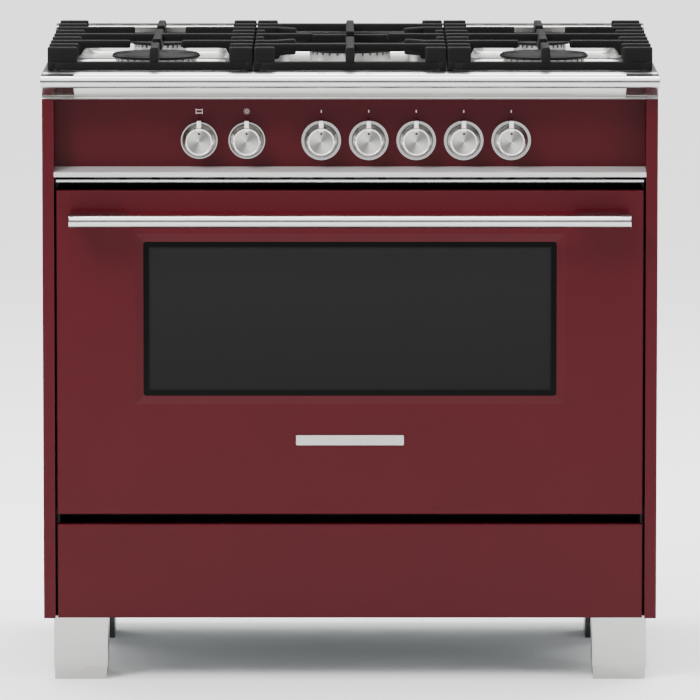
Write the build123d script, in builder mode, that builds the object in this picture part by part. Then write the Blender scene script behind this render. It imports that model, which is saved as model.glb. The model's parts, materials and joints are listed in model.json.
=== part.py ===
from build123d import *
import os

# Freestanding gas range, 36 inch class: a sealed five-burner cooktop over a convection oven
# with a drop-down door, and a storage drawer. Millimetres. X runs to the right as the cook
# faces the range, Y runs from the front to the back and Z runs up from the floor. The origin
# is on the floor, under the middle of the overall box.

# ---- Case ----
WIDTH = 911.0  # over the side panels
DEPTH = 650.0  # front plane to back edge
SHEET = 1.2  # case sheet steel
FLANGE_WIDTH = 17.5  # front face of a side panel
CASE_Z = 94.5  # underside of the case above the floor
SIDE_GAP = 3.5  # door or drawer to a side panel
BACK_RECESS = 30.0  # back edge to the back panel, room for the gas line

# ---- Front, stacked from the bottom ----
DRAWER_LIFT = 0.8
DRAWER_HEIGHT = 140.4
FINGER_GAP = 15.1  # between the drawer and the door
DOOR_HEIGHT = 483.1
DOOR_VENT = 12.7  # between the door and the vent trim
VENT_TRIM_HEIGHT = 3.0
TRIM_GAP = 4.3
LEDGE_FACE = 6.9
LEDGE_RISE = 5.4
PANEL_HEIGHT = 103.2  # control panel
DECK_SKIRT = 39.6  # side panel top to the cooking deck

# ---- Handle and rail ----
BAR_RADIUS = 9.0
HANDLE_OUT = 59.0  # handle axis in front of the front plane
HANDLE_DROP = 40.5  # handle axis below the door top
HANDLE_BRACKET_IN = 20.5  # door side edge to the bracket
HANDLE_BRACKET_WIDTH = 80.0
RAIL_OUT = 41.0
RAIL_DROP = 11.0  # rail axis below the deck
RAIL_BRACKET_WIDTH = 49.0
RAIL_OVERHANG = 0.5  # rail bracket past the side panel

# ---- Door ----
DOOR_THICK = 52.0
SKIN = 1.5
WINDOW_WIDTH = 613.0
WINDOW_HEIGHT = 230.0
WINDOW_RISE = 176.6  # door bottom to the window opening
WINDOW_SLOPE = 12.0  # width of the pressed slope round the window
WINDOW_SINK = 5.0
GLASS = 4.0
GLASS_LAP = 12.0
INNER_WINDOW_WIDTH = 520.0
INNER_WINDOW_HEIGHT = 180.0
BADGE_WIDTH = 160.0
BADGE_HEIGHT = 15.0
BADGE_THICK = 1.6
BADGE_RISE = 111.0  # door bottom to the badge middle
HINGE_BACK = 18.0  # hinge axis behind the front plane
HINGE_RISE = 7.2  # hinge axis above the door bottom
HINGE_IN = 22.5  # hinge middle from the door side edge
PIN_RADIUS = 3.5
EYE_RADIUS = 6.5
ARM_THICK = 8.0
SLOT_MARGIN = 1.0  # hinge slot past the arm on each side
GASKET_WIDTH = 12.0
GASKET_GAP = 1.5  # door to the gasket
GASKET_THICK = 6.5
GASKET_IN = 3.0  # cavity edge to the gasket

# ---- Drawer ----
DRAWER_FACE_THICK = 20.0
DRAWER_BOX_IN = 34.5  # drawer front side edge to the box side
DRAWER_BOX_HEIGHT = 105.0
DRAWER_BOX_LIFT = 14.7  # drawer front bottom to the box bottom
DRAWER_BOX_BACK = 70.0  # box back wall ahead of the back panel
RUNNER_WIDTH = 12.0
RUN_GAP = 0.5
PAN_GAP = 2.0  # drawer front to the base pan

# ---- Oven ----
CAVITY_IN = 54.5  # door side edge to the cavity
CAVITY_DROP = 31.9  # door top to the cavity roof
CAVITY_RISE = 39.2  # door bottom to the cavity floor
CAVITY_SHORT = 77.0  # cavity back wall ahead of the back panel
LINER = 1.5
RACK_LEVELS = 5
RACK_PITCH = 65.0
FIRST_LEVEL = 60.0  # cavity floor to the first ledge
LEDGE_WIDTH = 12.0
LEDGE_HEIGHT = 5.0
RACK_WIRE = 3.5  # radius of the rack's outer wire
RACK_CROSS = 3.0  # radius of the wires from side to side
RACK_ROD = 2.0  # radius of the wires from front to back
RACK_STOP = 2.5  # radius of the stop bar along the back
RACK_POST = 2.1
STOP_RISE = 20.0
RACK_RODS = 29
RACK_SIDE_GAP = 2.5
RACK_STAND_OFF = 22.0  # front frame to the rack
RACK_BACK_GAP = 28.0  # rack to the cavity back wall
FLOOR_RISE = 28.0
FLOOR_MARGIN = 2.0
BURNER_TUBE = 8.0  # radius of an oven burner tube
BAKE_HALF = 180.0
BROIL_HALF = 250.0
FAN_RISE = 215.0  # cavity floor to the fan axis
FAN_RADIUS = 78.0
FAN_DEPTH = 16.0
COVER_RADIUS = 105.0
COVER_DEPTH = 26.0
SHAFT_RADIUS = 4.0
MOTOR_RADIUS = 40.0
MOTOR_LENGTH = 52.0

# ---- Cooktop ----
DECK_SHEET = 1.5
FASCIA_SETBACK = 2.0
LIP_HEIGHT = 2.7
BEVEL_DEPTH = 12.0
BEVEL_DROP = 4.3
WELL_DEPTH = 14.0
WELL_SLOPE = 12.0
WELL_MARGIN = 37.5  # grate outside to the well's top edge
CENTRE_WELL_HALF = 104.0
RIDGE = 16.0  # between the front and the rear wells
REAR_TRIM_DEPTH = 62.0
REAR_TRIM_HEIGHT = 25.5
GRATE_FRONT = 25.0  # front plane to the grates
GRATE_REAR_GAP = 11.0  # grates to the rear trim
GRATE_EDGE = 7.7  # side panel to a grate
GRATE_SPLIT = 1.9  # between neighbouring grates
CENTRE_GRATE_WIDTH = 284.6
GRATE_LIFT = 1.0
RING_HEIGHT = 13.0
GRATE_HEIGHT = 34.6
BAR = 12.0
SPINE = 14.0  # bar that runs front to back
OUTER_STUB = 44.0
INNER_STUB = 34.6
FINGER_REACH = 38.5  # finger tip from the burner middle
SPINE_GAP = 40.0  # spine end from the burner middle
CENTRE_SPINE_GAP = 56.0
FINGER_DEPTH = 12.0  # bar depth left over a burner cap
CAP_CLEAR = 6.0
BURNER_AHEAD = 5.0  # burner middle ahead of its cross bar
BURNER_INWARD = 6.0
LARGE_CAP = 66.0
SMALL_CAP = 45.0
CAP_OVERHANG = 5.0
CAP_THICK = 7.0
CAP_RIM_Z = 31.0  # cap top above the well floor
PORTS = 30
THROAT = 25.0
THROAT_LENGTH = 22.0
ELECTRODE_RADIUS = 3.0

# ---- Controls ----
PANEL_SETBACK = 40.0
PANEL_SHEET = 1.5
PANEL_RETURN = 14.0
KNOB_RISE = 38.8  # ledge top to the knob axes
OVEN_KNOBS_X = (-223.6, -153.0)
BURNER_KNOB_X = -42.6
KNOB_PITCH = 70.4
CAP_RADIUS = 20.5
FACE_RADIUS = 18.5
KNOB_OUT = 32.0  # knob face in front of the panel
SKIRT_RADIUS = 24.6
SKIRT_OUT = 4.5  # skirt edge in front of the panel
HUB_RADIUS = 12.0
BEZEL_BORE = 25.2
BURNER_BEZEL = 29.25
OVEN_BEZEL = 27.2
BEZEL_OUT = 5.0
FIN_WIDTH = 6.3
FIN_REACH = 31.0
FIN_ROOT = 4.5  # fin's root inside the cap
FIN_DROP = 1.5  # fin behind the knob's face
DOT_RADIUS = 1.65
DOT_OFF = 12.0
STEM_RADIUS = 3.0
RUNNING_FIT = 0.05
STEM_GRIP = 18.0  # stem tip in front of the panel
STEM_TAIL = 35.0  # stem end behind the panel
KNOB_PUSH = 3.0
PANEL_HOLE = 6.0
VALVE_BEHIND = 14.0
VALVE_LENGTH = 44.0
VALVE_WIDTH = 24.0
VALVE_HEIGHT = 34.0
MANIFOLD_RADIUS = 11.0
MANIFOLD_RUN_X = 400.0
MANIFOLD_LEAD = 20.0  # manifold past the first valve
PIPE_RADIUS = 10.67  # half inch gas pipe
PIPE_STUB = 25.0
PIPE_CLEAR = 4.0
PIPE_UNION = 2.0  # wall of the union behind the pipe stub
CORD_ENTRY_X = -300.0
CORD_ENTRY_Z = 150.0
CORD_ENTRY_RADIUS = 14.0
CORD_BORE = 5.0

# ---- Feet ----
FOOT_WIDTH = 77.4
FOOT_DEPTH = 84.4
FOOT_IN = 15.5  # side panel to a foot
FRONT_FOOT_SETBACK = 23.3
REAR_FOOT_SETBACK = 437.0
SLEEVE_GAP = 0.1
SLEEVE_LIFT = 19.0

# ---- Heights and planes worked out from the sizes above ----
FRONT = -(DEPTH - HANDLE_OUT - BAR_RADIUS) / 2
BACK = FRONT + DEPTH
HALF = WIDTH / 2
DRAWER_Z = CASE_Z + DRAWER_LIFT
DRAWER_TOP = DRAWER_Z + DRAWER_HEIGHT
DOOR_Z = DRAWER_TOP + FINGER_GAP
DOOR_TOP = DOOR_Z + DOOR_HEIGHT
TRIM_Z = DOOR_TOP + DOOR_VENT
LEDGE_Z = TRIM_Z + VENT_TRIM_HEIGHT + TRIM_GAP
LEDGE_TOP = LEDGE_Z + LEDGE_FACE + LEDGE_RISE
CASE_TOP = LEDGE_TOP + PANEL_HEIGHT
DECK_Z = CASE_TOP + DECK_SKIRT
FRAME_Y = FRONT + DOOR_THICK + GASKET_GAP + GASKET_THICK
PANEL_Y = FRONT + PANEL_SETBACK
BACK_PANEL_Y = BACK - BACK_RECESS
RETURN_X = HALF - FLANGE_WIDTH
FACE_HALF = RETURN_X - SIDE_GAP
KNOB_Z = LEDGE_TOP + KNOB_RISE
BURNER_KNOBS_X = [BURNER_KNOB_X + KNOB_PITCH * i for i in range(5)]
CAVITY_Z = DOOR_Z + CAVITY_RISE
CAVITY_TOP = DOOR_TOP - CAVITY_DROP
CAVITY_BACK = BACK_PANEL_Y - CAVITY_SHORT
CAVITY_HALF = FACE_HALF - CAVITY_IN
WELL_Z = DECK_Z - WELL_DEPTH
TRIM_FRONT = BACK - REAR_TRIM_DEPTH
HANDLE_Z = DOOR_TOP - HANDLE_DROP
RAIL_Z = DECK_Z - RAIL_DROP
HINGE_Y = FRONT + HINGE_BACK
HINGE_Z = DOOR_Z + HINGE_RISE
HINGE_X = FACE_HALF - HINGE_IN
WINDOW_Z = DOOR_Z + WINDOW_RISE + WINDOW_HEIGHT / 2
FAN_Z = CAVITY_Z + FAN_RISE
GRATE_Y = FRONT + GRATE_FRONT
GRATE_DEPTH = DEPTH - GRATE_FRONT - REAR_TRIM_DEPTH - GRATE_REAR_GAP
SIDE_GRATE_WIDTH = HALF - GRATE_EDGE - GRATE_SPLIT - CENTRE_GRATE_WIDTH / 2
GRATE_Z = DECK_Z + GRATE_LIFT
RING_TOP = GRATE_Z + RING_HEIGHT
GRATE_TOP = GRATE_Z + GRATE_HEIGHT
SIDE_GRATE_X = HALF - GRATE_EDGE - SIDE_GRATE_WIDTH / 2
BURNER_X = SIDE_GRATE_X - BURNER_INWARD


def bar_y(row):
    """The middle of one of the nine cross bars of a grate, counted from the front."""
    return GRATE_Y + BAR / 2 + (row - 1) * (GRATE_DEPTH - BAR) / 8


# (x, y, cap radius) of the five burners
BURNERS = [
    (-BURNER_X, bar_y(3) - BURNER_AHEAD, LARGE_CAP),
    (BURNER_X, bar_y(3) - BURNER_AHEAD, LARGE_CAP),
    (0.0, bar_y(5) - BURNER_AHEAD, LARGE_CAP),
    (-BURNER_X, bar_y(7) - BURNER_AHEAD, SMALL_CAP),
    (BURNER_X, bar_y(7) - BURNER_AHEAD, SMALL_CAP),
]

os.makedirs("parts", exist_ok=True)


def block(x_span, y_span, z_span, mode=Mode.ADD):
    """Add or cut a rectangular block between pairs of X, Y and Z limits."""
    spans = [sorted(span) for span in (x_span, y_span, z_span)]
    with Locations(tuple(sum(span) / 2 for span in spans)):
        Box(*[high - low for low, high in spans], mode=mode)


def bar_along_x(points, x_span, mode=Mode.ADD):
    """Extrude a closed outline of (y, z) points between two X limits."""
    low, high = sorted(x_span)
    with BuildSketch(Plane.YZ.offset(low)) as outline:
        with BuildLine():
            Polyline(*points, close=True)
        make_face()
    extrude(outline.sketch, amount=high - low, mode=mode)


def bar_along_y(points, y_span, mode=Mode.ADD):
    """Extrude a closed outline of (x, z) points between two Y limits."""
    low, high = sorted(y_span)
    with BuildSketch(Plane.XZ.offset(-high)) as outline:
        with BuildLine():
            Polyline(*points, close=True)
        make_face()
    extrude(outline.sketch, amount=high - low, mode=mode)


def rod_x(x_span, y, z, radius, mode=Mode.ADD):
    """Add or cut a round rod that runs along X."""
    with Locations(((x_span[0] + x_span[1]) / 2, y, z)):
        Cylinder(radius, abs(x_span[1] - x_span[0]), rotation=(0, 90, 0), mode=mode)


def rod_y(x, y_span, z, radius, mode=Mode.ADD):
    """Add or cut a round rod that runs along Y."""
    with Locations((x, (y_span[0] + y_span[1]) / 2, z)):
        Cylinder(radius, abs(y_span[1] - y_span[0]), rotation=(90, 0, 0), mode=mode)


def rod_z(x, y, z_span, radius, mode=Mode.ADD):
    """Add or cut a round rod that runs along Z."""
    with Locations((x, y, (z_span[0] + z_span[1]) / 2)):
        Cylinder(radius, abs(z_span[1] - z_span[0]), mode=mode)


def save(piece, name):
    """Label a finished piece and write it as one STEP file."""
    piece.part.label = name
    export_step(piece.part, f"parts/{name}.step")


# =====================================================================================
# Case
# =====================================================================================


def side_panel(side):
    """A side wall with a front flange, a return behind it and a flange at the back."""
    outer = side * HALF
    inner = side * RETURN_X
    height = (CASE_Z, CASE_TOP)
    with BuildPart() as panel:
        block((outer, outer - side * SHEET), (FRONT, BACK), height)
        block((outer, inner), (FRONT, FRONT + SHEET), height)
        block((inner, inner + side * SHEET), (FRONT, FRAME_Y), height)
        block((outer, inner), (BACK - SHEET, BACK), height)
        fold = panel.edges().filter_by(Axis.Z).group_by(Axis.Y)[0].sort_by(Axis.X)
        fillet(fold[0] if side < 0 else fold[-1], SHEET * 0.8)
    return panel


save(side_panel(-1), "left_side_panel")
save(side_panel(1), "right_side_panel")

INSIDE = HALF - SHEET
with BuildPart() as base_pan:
    block((-RETURN_X, RETURN_X), (FRONT + DRAWER_FACE_THICK + PAN_GAP, FRAME_Y), (CASE_Z, CASE_Z + SHEET))
    block((-INSIDE, INSIDE), (FRAME_Y, BACK_PANEL_Y - SHEET), (CASE_Z, CASE_Z + SHEET))
    for rib_x in (-150, 150):
        block(
            (rib_x - 20, rib_x + 20),
            (FRAME_Y + 40, BACK_PANEL_Y - 40),
            (CASE_Z, CASE_Z + 5),
        )
save(base_pan, "base_pan")

MANIFOLD_Y = PANEL_Y + PANEL_SHEET + VALVE_BEHIND + VALVE_LENGTH + MANIFOLD_RADIUS
with BuildPart() as back_panel:
    block((-INSIDE, INSIDE), (BACK_PANEL_Y - SHEET, BACK_PANEL_Y), (CASE_Z, CASE_TOP))
    rod_y(
        MANIFOLD_RUN_X,
        (BACK_PANEL_Y - 5, BACK_PANEL_Y + 5),
        KNOB_Z,
        PIPE_RADIUS + PIPE_CLEAR,
        Mode.SUBTRACT,
    )
    rod_y(
        CORD_ENTRY_X,
        (BACK_PANEL_Y - 5, BACK_PANEL_Y + 5),
        CORD_ENTRY_Z,
        CORD_ENTRY_RADIUS - 3,
        Mode.SUBTRACT,
    )
    with Locations(Plane.XZ.offset(-BACK_PANEL_Y)):
        with Locations((0, (CAVITY_TOP + CASE_TOP) / 2)):
            with GridLocations(34, 14, 12, 5):
                Box(24, 5, SHEET * 4, mode=Mode.SUBTRACT)
save(back_panel, "back_panel")

with BuildPart() as front_frame:
    block((-INSIDE, INSIDE), (FRAME_Y, FRAME_Y + LINER), (CASE_Z + SHEET, LEDGE_TOP))
    block(
        (-CAVITY_HALF, CAVITY_HALF),
        (FRAME_Y - 5, FRAME_Y + 5),
        (CAVITY_Z, CAVITY_TOP),
        Mode.SUBTRACT,
    )
    block(
        (-FACE_HALF + 16, FACE_HALF - 16),
        (FRAME_Y - 5, FRAME_Y + 5),
        (CASE_Z + 8, DRAWER_TOP + 4),
        Mode.SUBTRACT,
    )
save(front_frame, "front_frame")

# =====================================================================================
# Cooktop
# =====================================================================================

GRATE_ENDS = (GRATE_Y + BAR + 3, GRATE_Y + GRATE_DEPTH - BAR)
RIDGE_Y = GRATE_Y + GRATE_DEPTH * 0.425
SIDE_WELL_X = (SIDE_GRATE_X - SIDE_GRATE_WIDTH / 2 + WELL_MARGIN, HALF - GRATE_EDGE - WELL_MARGIN)
WELLS = [((-CENTRE_WELL_HALF, CENTRE_WELL_HALF), GRATE_ENDS)]
for well_side in (-1, 1):
    well_x = tuple(sorted(well_side * x for x in SIDE_WELL_X))
    WELLS.append((well_x, (GRATE_ENDS[0], RIDGE_Y - RIDGE / 2)))
    WELLS.append((well_x, (RIDGE_Y + RIDGE / 2, GRATE_ENDS[1])))


def wells(top, grow, mode):
    """Add or cut the five pressed wells, with walls that slope in towards the floor."""
    for x_span, y_span in WELLS:
        middle = (sum(x_span) / 2, sum(y_span) / 2)
        wide = x_span[1] - x_span[0] + 2 * grow
        deep = y_span[1] - y_span[0] + 2 * grow
        with BuildSketch(Plane.XY.offset(top)) as rim:
            with Locations(middle):
                RectangleRounded(wide, deep, 30)
        with BuildSketch(Plane.XY.offset(top - WELL_DEPTH)) as floor:
            with Locations(middle):
                RectangleRounded(wide - 2 * WELL_SLOPE, deep - 2 * WELL_SLOPE, 20)
        loft([rim.sketch, floor.sketch], mode=mode)


def deck_outline(inset, bottom):
    """The (y, z) outline of the deck's side view, moved in by the sheet thickness."""
    face = FRONT + FASCIA_SETBACK + inset
    top = DECK_Z - inset
    points = [(face, bottom), (face, top - BEVEL_DROP)]
    points += [(face + BEVEL_DEPTH, top), (BACK - inset, top), (BACK - inset, bottom)]
    return points


with BuildPart() as deck_hollow:
    bar_along_x(
        deck_outline(DECK_SHEET, CASE_TOP - 1), (-HALF + DECK_SHEET, HALF - DECK_SHEET)
    )
    wells(DECK_Z - DECK_SHEET, 0.7, Mode.SUBTRACT)

with BuildPart() as cooktop_deck:
    bar_along_x(deck_outline(0, CASE_TOP), (-HALF, HALF))
    add(deck_hollow.part, mode=Mode.SUBTRACT)
    wells(DECK_Z, 0, Mode.SUBTRACT)
    block((-HALF, HALF), (FRONT, FRONT + 6), (CASE_TOP, CASE_TOP + LIP_HEIGHT))
    for burner_x, burner_y, burner_cap in BURNERS:
        rod_z(burner_x, burner_y, (WELL_Z - 5, WELL_Z + 2), THROAT + 1, Mode.SUBTRACT)
save(cooktop_deck, "cooktop_deck")

with BuildPart() as rear_vent_trim:
    block((-HALF, HALF), (TRIM_FRONT, BACK), (DECK_Z, DECK_Z + REAR_TRIM_HEIGHT))
    top_edges = rear_vent_trim.edges().filter_by(Axis.X).group_by(Axis.Z)[-1]
    fillet(top_edges, 3)
    block(
        (-HALF + DECK_SHEET, HALF - DECK_SHEET),
        (TRIM_FRONT + DECK_SHEET, BACK - DECK_SHEET),
        (DECK_Z - 1, DECK_Z + REAR_TRIM_HEIGHT - DECK_SHEET),
        Mode.SUBTRACT,
    )
    with Locations((0, TRIM_FRONT + REAR_TRIM_DEPTH / 2, DECK_Z + REAR_TRIM_HEIGHT)):
        with GridLocations(40, 18, 20, 2):
            Box(28, 8, 10, mode=Mode.SUBTRACT)
save(rear_vent_trim, "rear_vent_trim")

RAIL_Y = FRONT - RAIL_OUT
BRACKET_X = (HALF + RAIL_OVERHANG - RAIL_BRACKET_WIDTH, HALF + RAIL_OVERHANG)
with BuildPart() as front_rail:
    rod_x((-BRACKET_X[0], BRACKET_X[0]), RAIL_Y, RAIL_Z, BAR_RADIUS)
save(front_rail, "front_rail")

with BuildPart() as front_rail_brackets:
    # A flat top runs to a round nose, and the underside slants back down to the deck's lip
    with BuildSketch(Plane.YZ.offset(BRACKET_X[0])):
        with BuildLine():
            Polyline(
                (RAIL_Y, RAIL_Z - BAR_RADIUS),
                (FRONT + FASCIA_SETBACK, CASE_TOP + LIP_HEIGHT),
                (FRONT + FASCIA_SETBACK, RAIL_Z + BAR_RADIUS),
                (RAIL_Y, RAIL_Z + BAR_RADIUS),
            )
            RadiusArc((RAIL_Y, RAIL_Z + BAR_RADIUS), (RAIL_Y, RAIL_Z - BAR_RADIUS), -BAR_RADIUS)
        make_face()
    extrude(amount=RAIL_BRACKET_WIDTH)
    ends = front_rail_brackets.faces().filter_by(Axis.X)
    chamfer(ends.sort_by(Axis.X)[-1].edges(), 0.6)
    mirror(about=Plane.YZ)
save(front_rail_brackets, "front_rail_brackets")


def grate_ring(x_span):
    """The low frame that a grate stands on."""
    rear = GRATE_Y + GRATE_DEPTH
    for y_span in ((GRATE_Y, GRATE_Y + BAR), (rear - BAR, rear)):
        block(x_span, y_span, (GRATE_Z, RING_TOP))
    for x in (x_span[0], x_span[1] - BAR):
        block((x, x + BAR), (GRATE_Y, rear), (GRATE_Z, RING_TOP))


def cross_bar(x_span, row):
    """A bar across the top of a grate, on its ring."""
    y = bar_y(row)
    block(x_span, (y - BAR / 2, y + BAR / 2), (RING_TOP - 2, GRATE_TOP))


def finger(root, tip, row):
    """A long bar from the ring to its tip beside a burner, cut away under the tip."""
    back = 14 if root > tip else -14
    outline = [(root, RING_TOP - 2), (root, GRATE_TOP), (tip, GRATE_TOP)]
    outline += [(tip, GRATE_TOP - 8), (tip + back, RING_TOP - 2)]
    y = bar_y(row)
    bar_along_y(outline, (y - BAR / 2, y + BAR / 2))


def spine(x, y_span):
    """A bar from front to back along the top of a grate."""
    block((x - SPINE / 2, x + SPINE / 2), y_span, (RING_TOP - 2, GRATE_TOP))


def relieve(burner):
    """Cut the bars away over a burner's cap, which leaves shallow fingers above it."""
    x, y, cap = burner
    rod_z(x, y, (GRATE_Z - 1, GRATE_TOP - FINGER_DEPTH), cap + CAP_CLEAR, Mode.SUBTRACT)


def soften(grate):
    """Break the sharp top edges of a casting."""
    chamfer(grate.edges().group_by(Axis.Z)[-1], 1.2)


def side_grate(side):
    """A grate over two burners, one behind the other."""
    outer = side * (HALF - GRATE_EDGE)
    inner = outer - side * SIDE_GRATE_WIDTH
    low, high = sorted((outer, inner))
    burner_x = side * BURNER_X
    front_y, rear_y = BURNERS[0][1], BURNERS[3][1]
    with BuildPart() as grate:
        grate_ring((low, high))
        for row in (1, 2, 4, 6, 8, 9):
            cross_bar((outer, outer - side * OUTER_STUB), row)
            cross_bar((inner, inner + side * INNER_STUB), row)
        for row in (3, 7):
            finger(outer, burner_x + side * FINGER_REACH, row)
            finger(inner, burner_x - side * FINGER_REACH, row)
        cross_bar((low, high), 5)
        spine(burner_x, (GRATE_Y, front_y - SPINE_GAP))
        spine(burner_x, (front_y + SPINE_GAP, rear_y - SPINE_GAP))
        spine(burner_x, (rear_y + SPINE_GAP, GRATE_Y + GRATE_DEPTH))
        for burner in BURNERS:
            relieve(burner)
        soften(grate)
    return grate


save(side_grate(-1), "left_grate")
save(side_grate(1), "right_grate")

CENTRE_HALF = CENTRE_GRATE_WIDTH / 2
with BuildPart() as centre_grate:
    grate_ring((-CENTRE_HALF, CENTRE_HALF))
    for row in (2, 8):
        cross_bar((-CENTRE_HALF, CENTRE_HALF), row)
    for side in (-1, 1):
        for row, length in ((1, 31), (9, 31), (4, BAR + 1), (6, BAR + 1), (3, 32), (7, 32)):
            cross_bar((side * CENTRE_HALF, side * (CENTRE_HALF - length)), row)
        finger(side * CENTRE_HALF, side * (LARGE_CAP - 10), 5)
        for row, inward in ((3, 1), (7, -1)):
            # Past the burner's edge the bar turns 45 degrees, towards the burner
            middle = (side * (CENTRE_HALF - 32 - 12), bar_y(row) + inward * 12)
            with BuildSketch(Plane.XY.offset(RING_TOP - 2)):
                with Locations(middle):
                    SlotCenterToCenter(34, BAR, rotation=-45 * side * inward)
            extrude(amount=GRATE_TOP - RING_TOP + 2)
    spine(0, (GRATE_Y, BURNERS[2][1] - CENTRE_SPINE_GAP))
    spine(0, (BURNERS[2][1] + CENTRE_SPINE_GAP, GRATE_Y + GRATE_DEPTH))
    relieve(BURNERS[2])
    soften(centre_grate)
save(centre_grate, "centre_grate")

CAP_TOP = WELL_Z + CAP_RIM_Z
CROWN_TOP = CAP_TOP - CAP_THICK
with BuildPart() as burner_bases:
    for burner_x, burner_y, burner_cap in BURNERS:
        crown = burner_cap - CAP_OVERHANG
        rod_z(burner_x, burner_y, (WELL_Z, WELL_Z + 4), crown - 4)
        rod_z(burner_x, burner_y, (WELL_Z + 4, WELL_Z + 11), crown - 12)
        rod_z(burner_x, burner_y, (WELL_Z + 11, CROWN_TOP), crown)
        rod_z(burner_x, burner_y, (WELL_Z - THROAT_LENGTH, WELL_Z), THROAT)
        with Locations((burner_x, burner_y, CROWN_TOP)):
            with PolarLocations(crown, PORTS):
                Box(10, 3.2, 8, mode=Mode.SUBTRACT)
save(burner_bases, "burner_bases")

with BuildPart() as burner_caps:
    for burner_x, burner_y, burner_cap in BURNERS:
        # A shallow dome with a round edge and a dished disc in the middle
        with BuildSketch(Plane.XZ.offset(-burner_y)) as section:
            with BuildLine():
                Polyline(
                    (burner_x, CROWN_TOP),
                    (burner_x + burner_cap - 2, CROWN_TOP),
                    (burner_x + burner_cap, CROWN_TOP + 2),
                    (burner_x + burner_cap, CAP_TOP - 3),
                    (burner_x + burner_cap - 3, CAP_TOP),
                    (burner_x + 20, CAP_TOP + 1.5),
                    (burner_x + 18, CAP_TOP - 0.5),
                    (burner_x, CAP_TOP - 0.5),
                    close=True,
                )
            make_face()
        revolve(axis=Axis((burner_x, burner_y, 0), (0, 0, 1)))
save(burner_caps, "burner_caps")

with BuildPart() as spark_electrodes:
    for burner_x, burner_y, burner_cap in BURNERS:
        reach = (burner_cap + 4) * 0.7071
        tip_x = burner_x + (reach if burner_x <= 0 else -reach)
        rod_z(tip_x, burner_y + reach, (WELL_Z, CROWN_TOP - 4), ELECTRODE_RADIUS)
        rod_z(tip_x, burner_y + reach, (CROWN_TOP - 4, CROWN_TOP), 0.8)
save(spark_electrodes, "spark_electrodes")

# =====================================================================================
# Control panel
# =====================================================================================

with BuildPart() as control_panel:
    block((-RETURN_X, RETURN_X), (PANEL_Y, PANEL_Y + PANEL_SHEET), (LEDGE_TOP, CASE_TOP))
    for z in (LEDGE_TOP, CASE_TOP - PANEL_SHEET):
        block(
            (-RETURN_X, RETURN_X), (PANEL_Y, PANEL_Y + PANEL_RETURN), (z, z + PANEL_SHEET)
        )
    for knob_x in (*OVEN_KNOBS_X, *BURNER_KNOBS_X):
        rod_y(knob_x, (PANEL_Y - 5, PANEL_Y + 5), KNOB_Z, PANEL_HOLE, Mode.SUBTRACT)
save(control_panel, "control_panel")

with BuildPart() as control_ledge:
    bar_along_x(
        [
            (FRONT, LEDGE_Z),
            (FRONT, LEDGE_Z + LEDGE_FACE),
            (PANEL_Y + PANEL_SHEET, LEDGE_TOP),
            (PANEL_Y + PANEL_SHEET, LEDGE_TOP - SHEET),
            (FRONT + SHEET, LEDGE_Z + LEDGE_FACE - SHEET),
            (FRONT + SHEET, LEDGE_Z + SHEET),
            (FRONT + 12, LEDGE_Z + SHEET),
            (FRONT + 12, LEDGE_Z),
        ],
        (-RETURN_X, RETURN_X),
    )
save(control_ledge, "control_ledge")

with BuildPart() as vent_trim:
    block((-FACE_HALF, FACE_HALF), (FRONT, FRONT + 2), (TRIM_Z, TRIM_Z + VENT_TRIM_HEIGHT))
    block((-FACE_HALF, FACE_HALF), (FRONT, FRAME_Y), (TRIM_Z + 0.9, TRIM_Z + 2.1))
    with Locations((0, FRONT + 32, TRIM_Z + 1.5)):
        with GridLocations(48, 1, 16, 1):
            Box(36, 40, 5, mode=Mode.SUBTRACT)
save(vent_trim, "vent_trim")

with BuildPart() as knob_bezels:
    for knob_x in (*OVEN_KNOBS_X, *BURNER_KNOBS_X):
        outer = OVEN_BEZEL if knob_x in OVEN_KNOBS_X else BURNER_BEZEL
        rod_y(knob_x, (PANEL_Y - BEZEL_OUT + 1.5, PANEL_Y), KNOB_Z, outer)
        rod_y(knob_x, (PANEL_Y - BEZEL_OUT, PANEL_Y), KNOB_Z, outer - 1.2)
        rod_y(knob_x, (PANEL_Y - BEZEL_OUT - 1, PANEL_Y + 1), KNOB_Z, BEZEL_BORE, Mode.SUBTRACT)
        if outer == BURNER_BEZEL:
            # A groove divides the wide bezel into two bright rings
            with BuildSketch(Plane.XZ.offset(-(PANEL_Y - BEZEL_OUT))) as groove:
                with Locations((knob_x, KNOB_Z)):
                    Circle(27.0)
                    Circle(26.2, mode=Mode.SUBTRACT)
            extrude(groove.sketch, amount=-1.2, mode=Mode.SUBTRACT)
save(knob_bezels, "knob_bezels")


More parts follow.
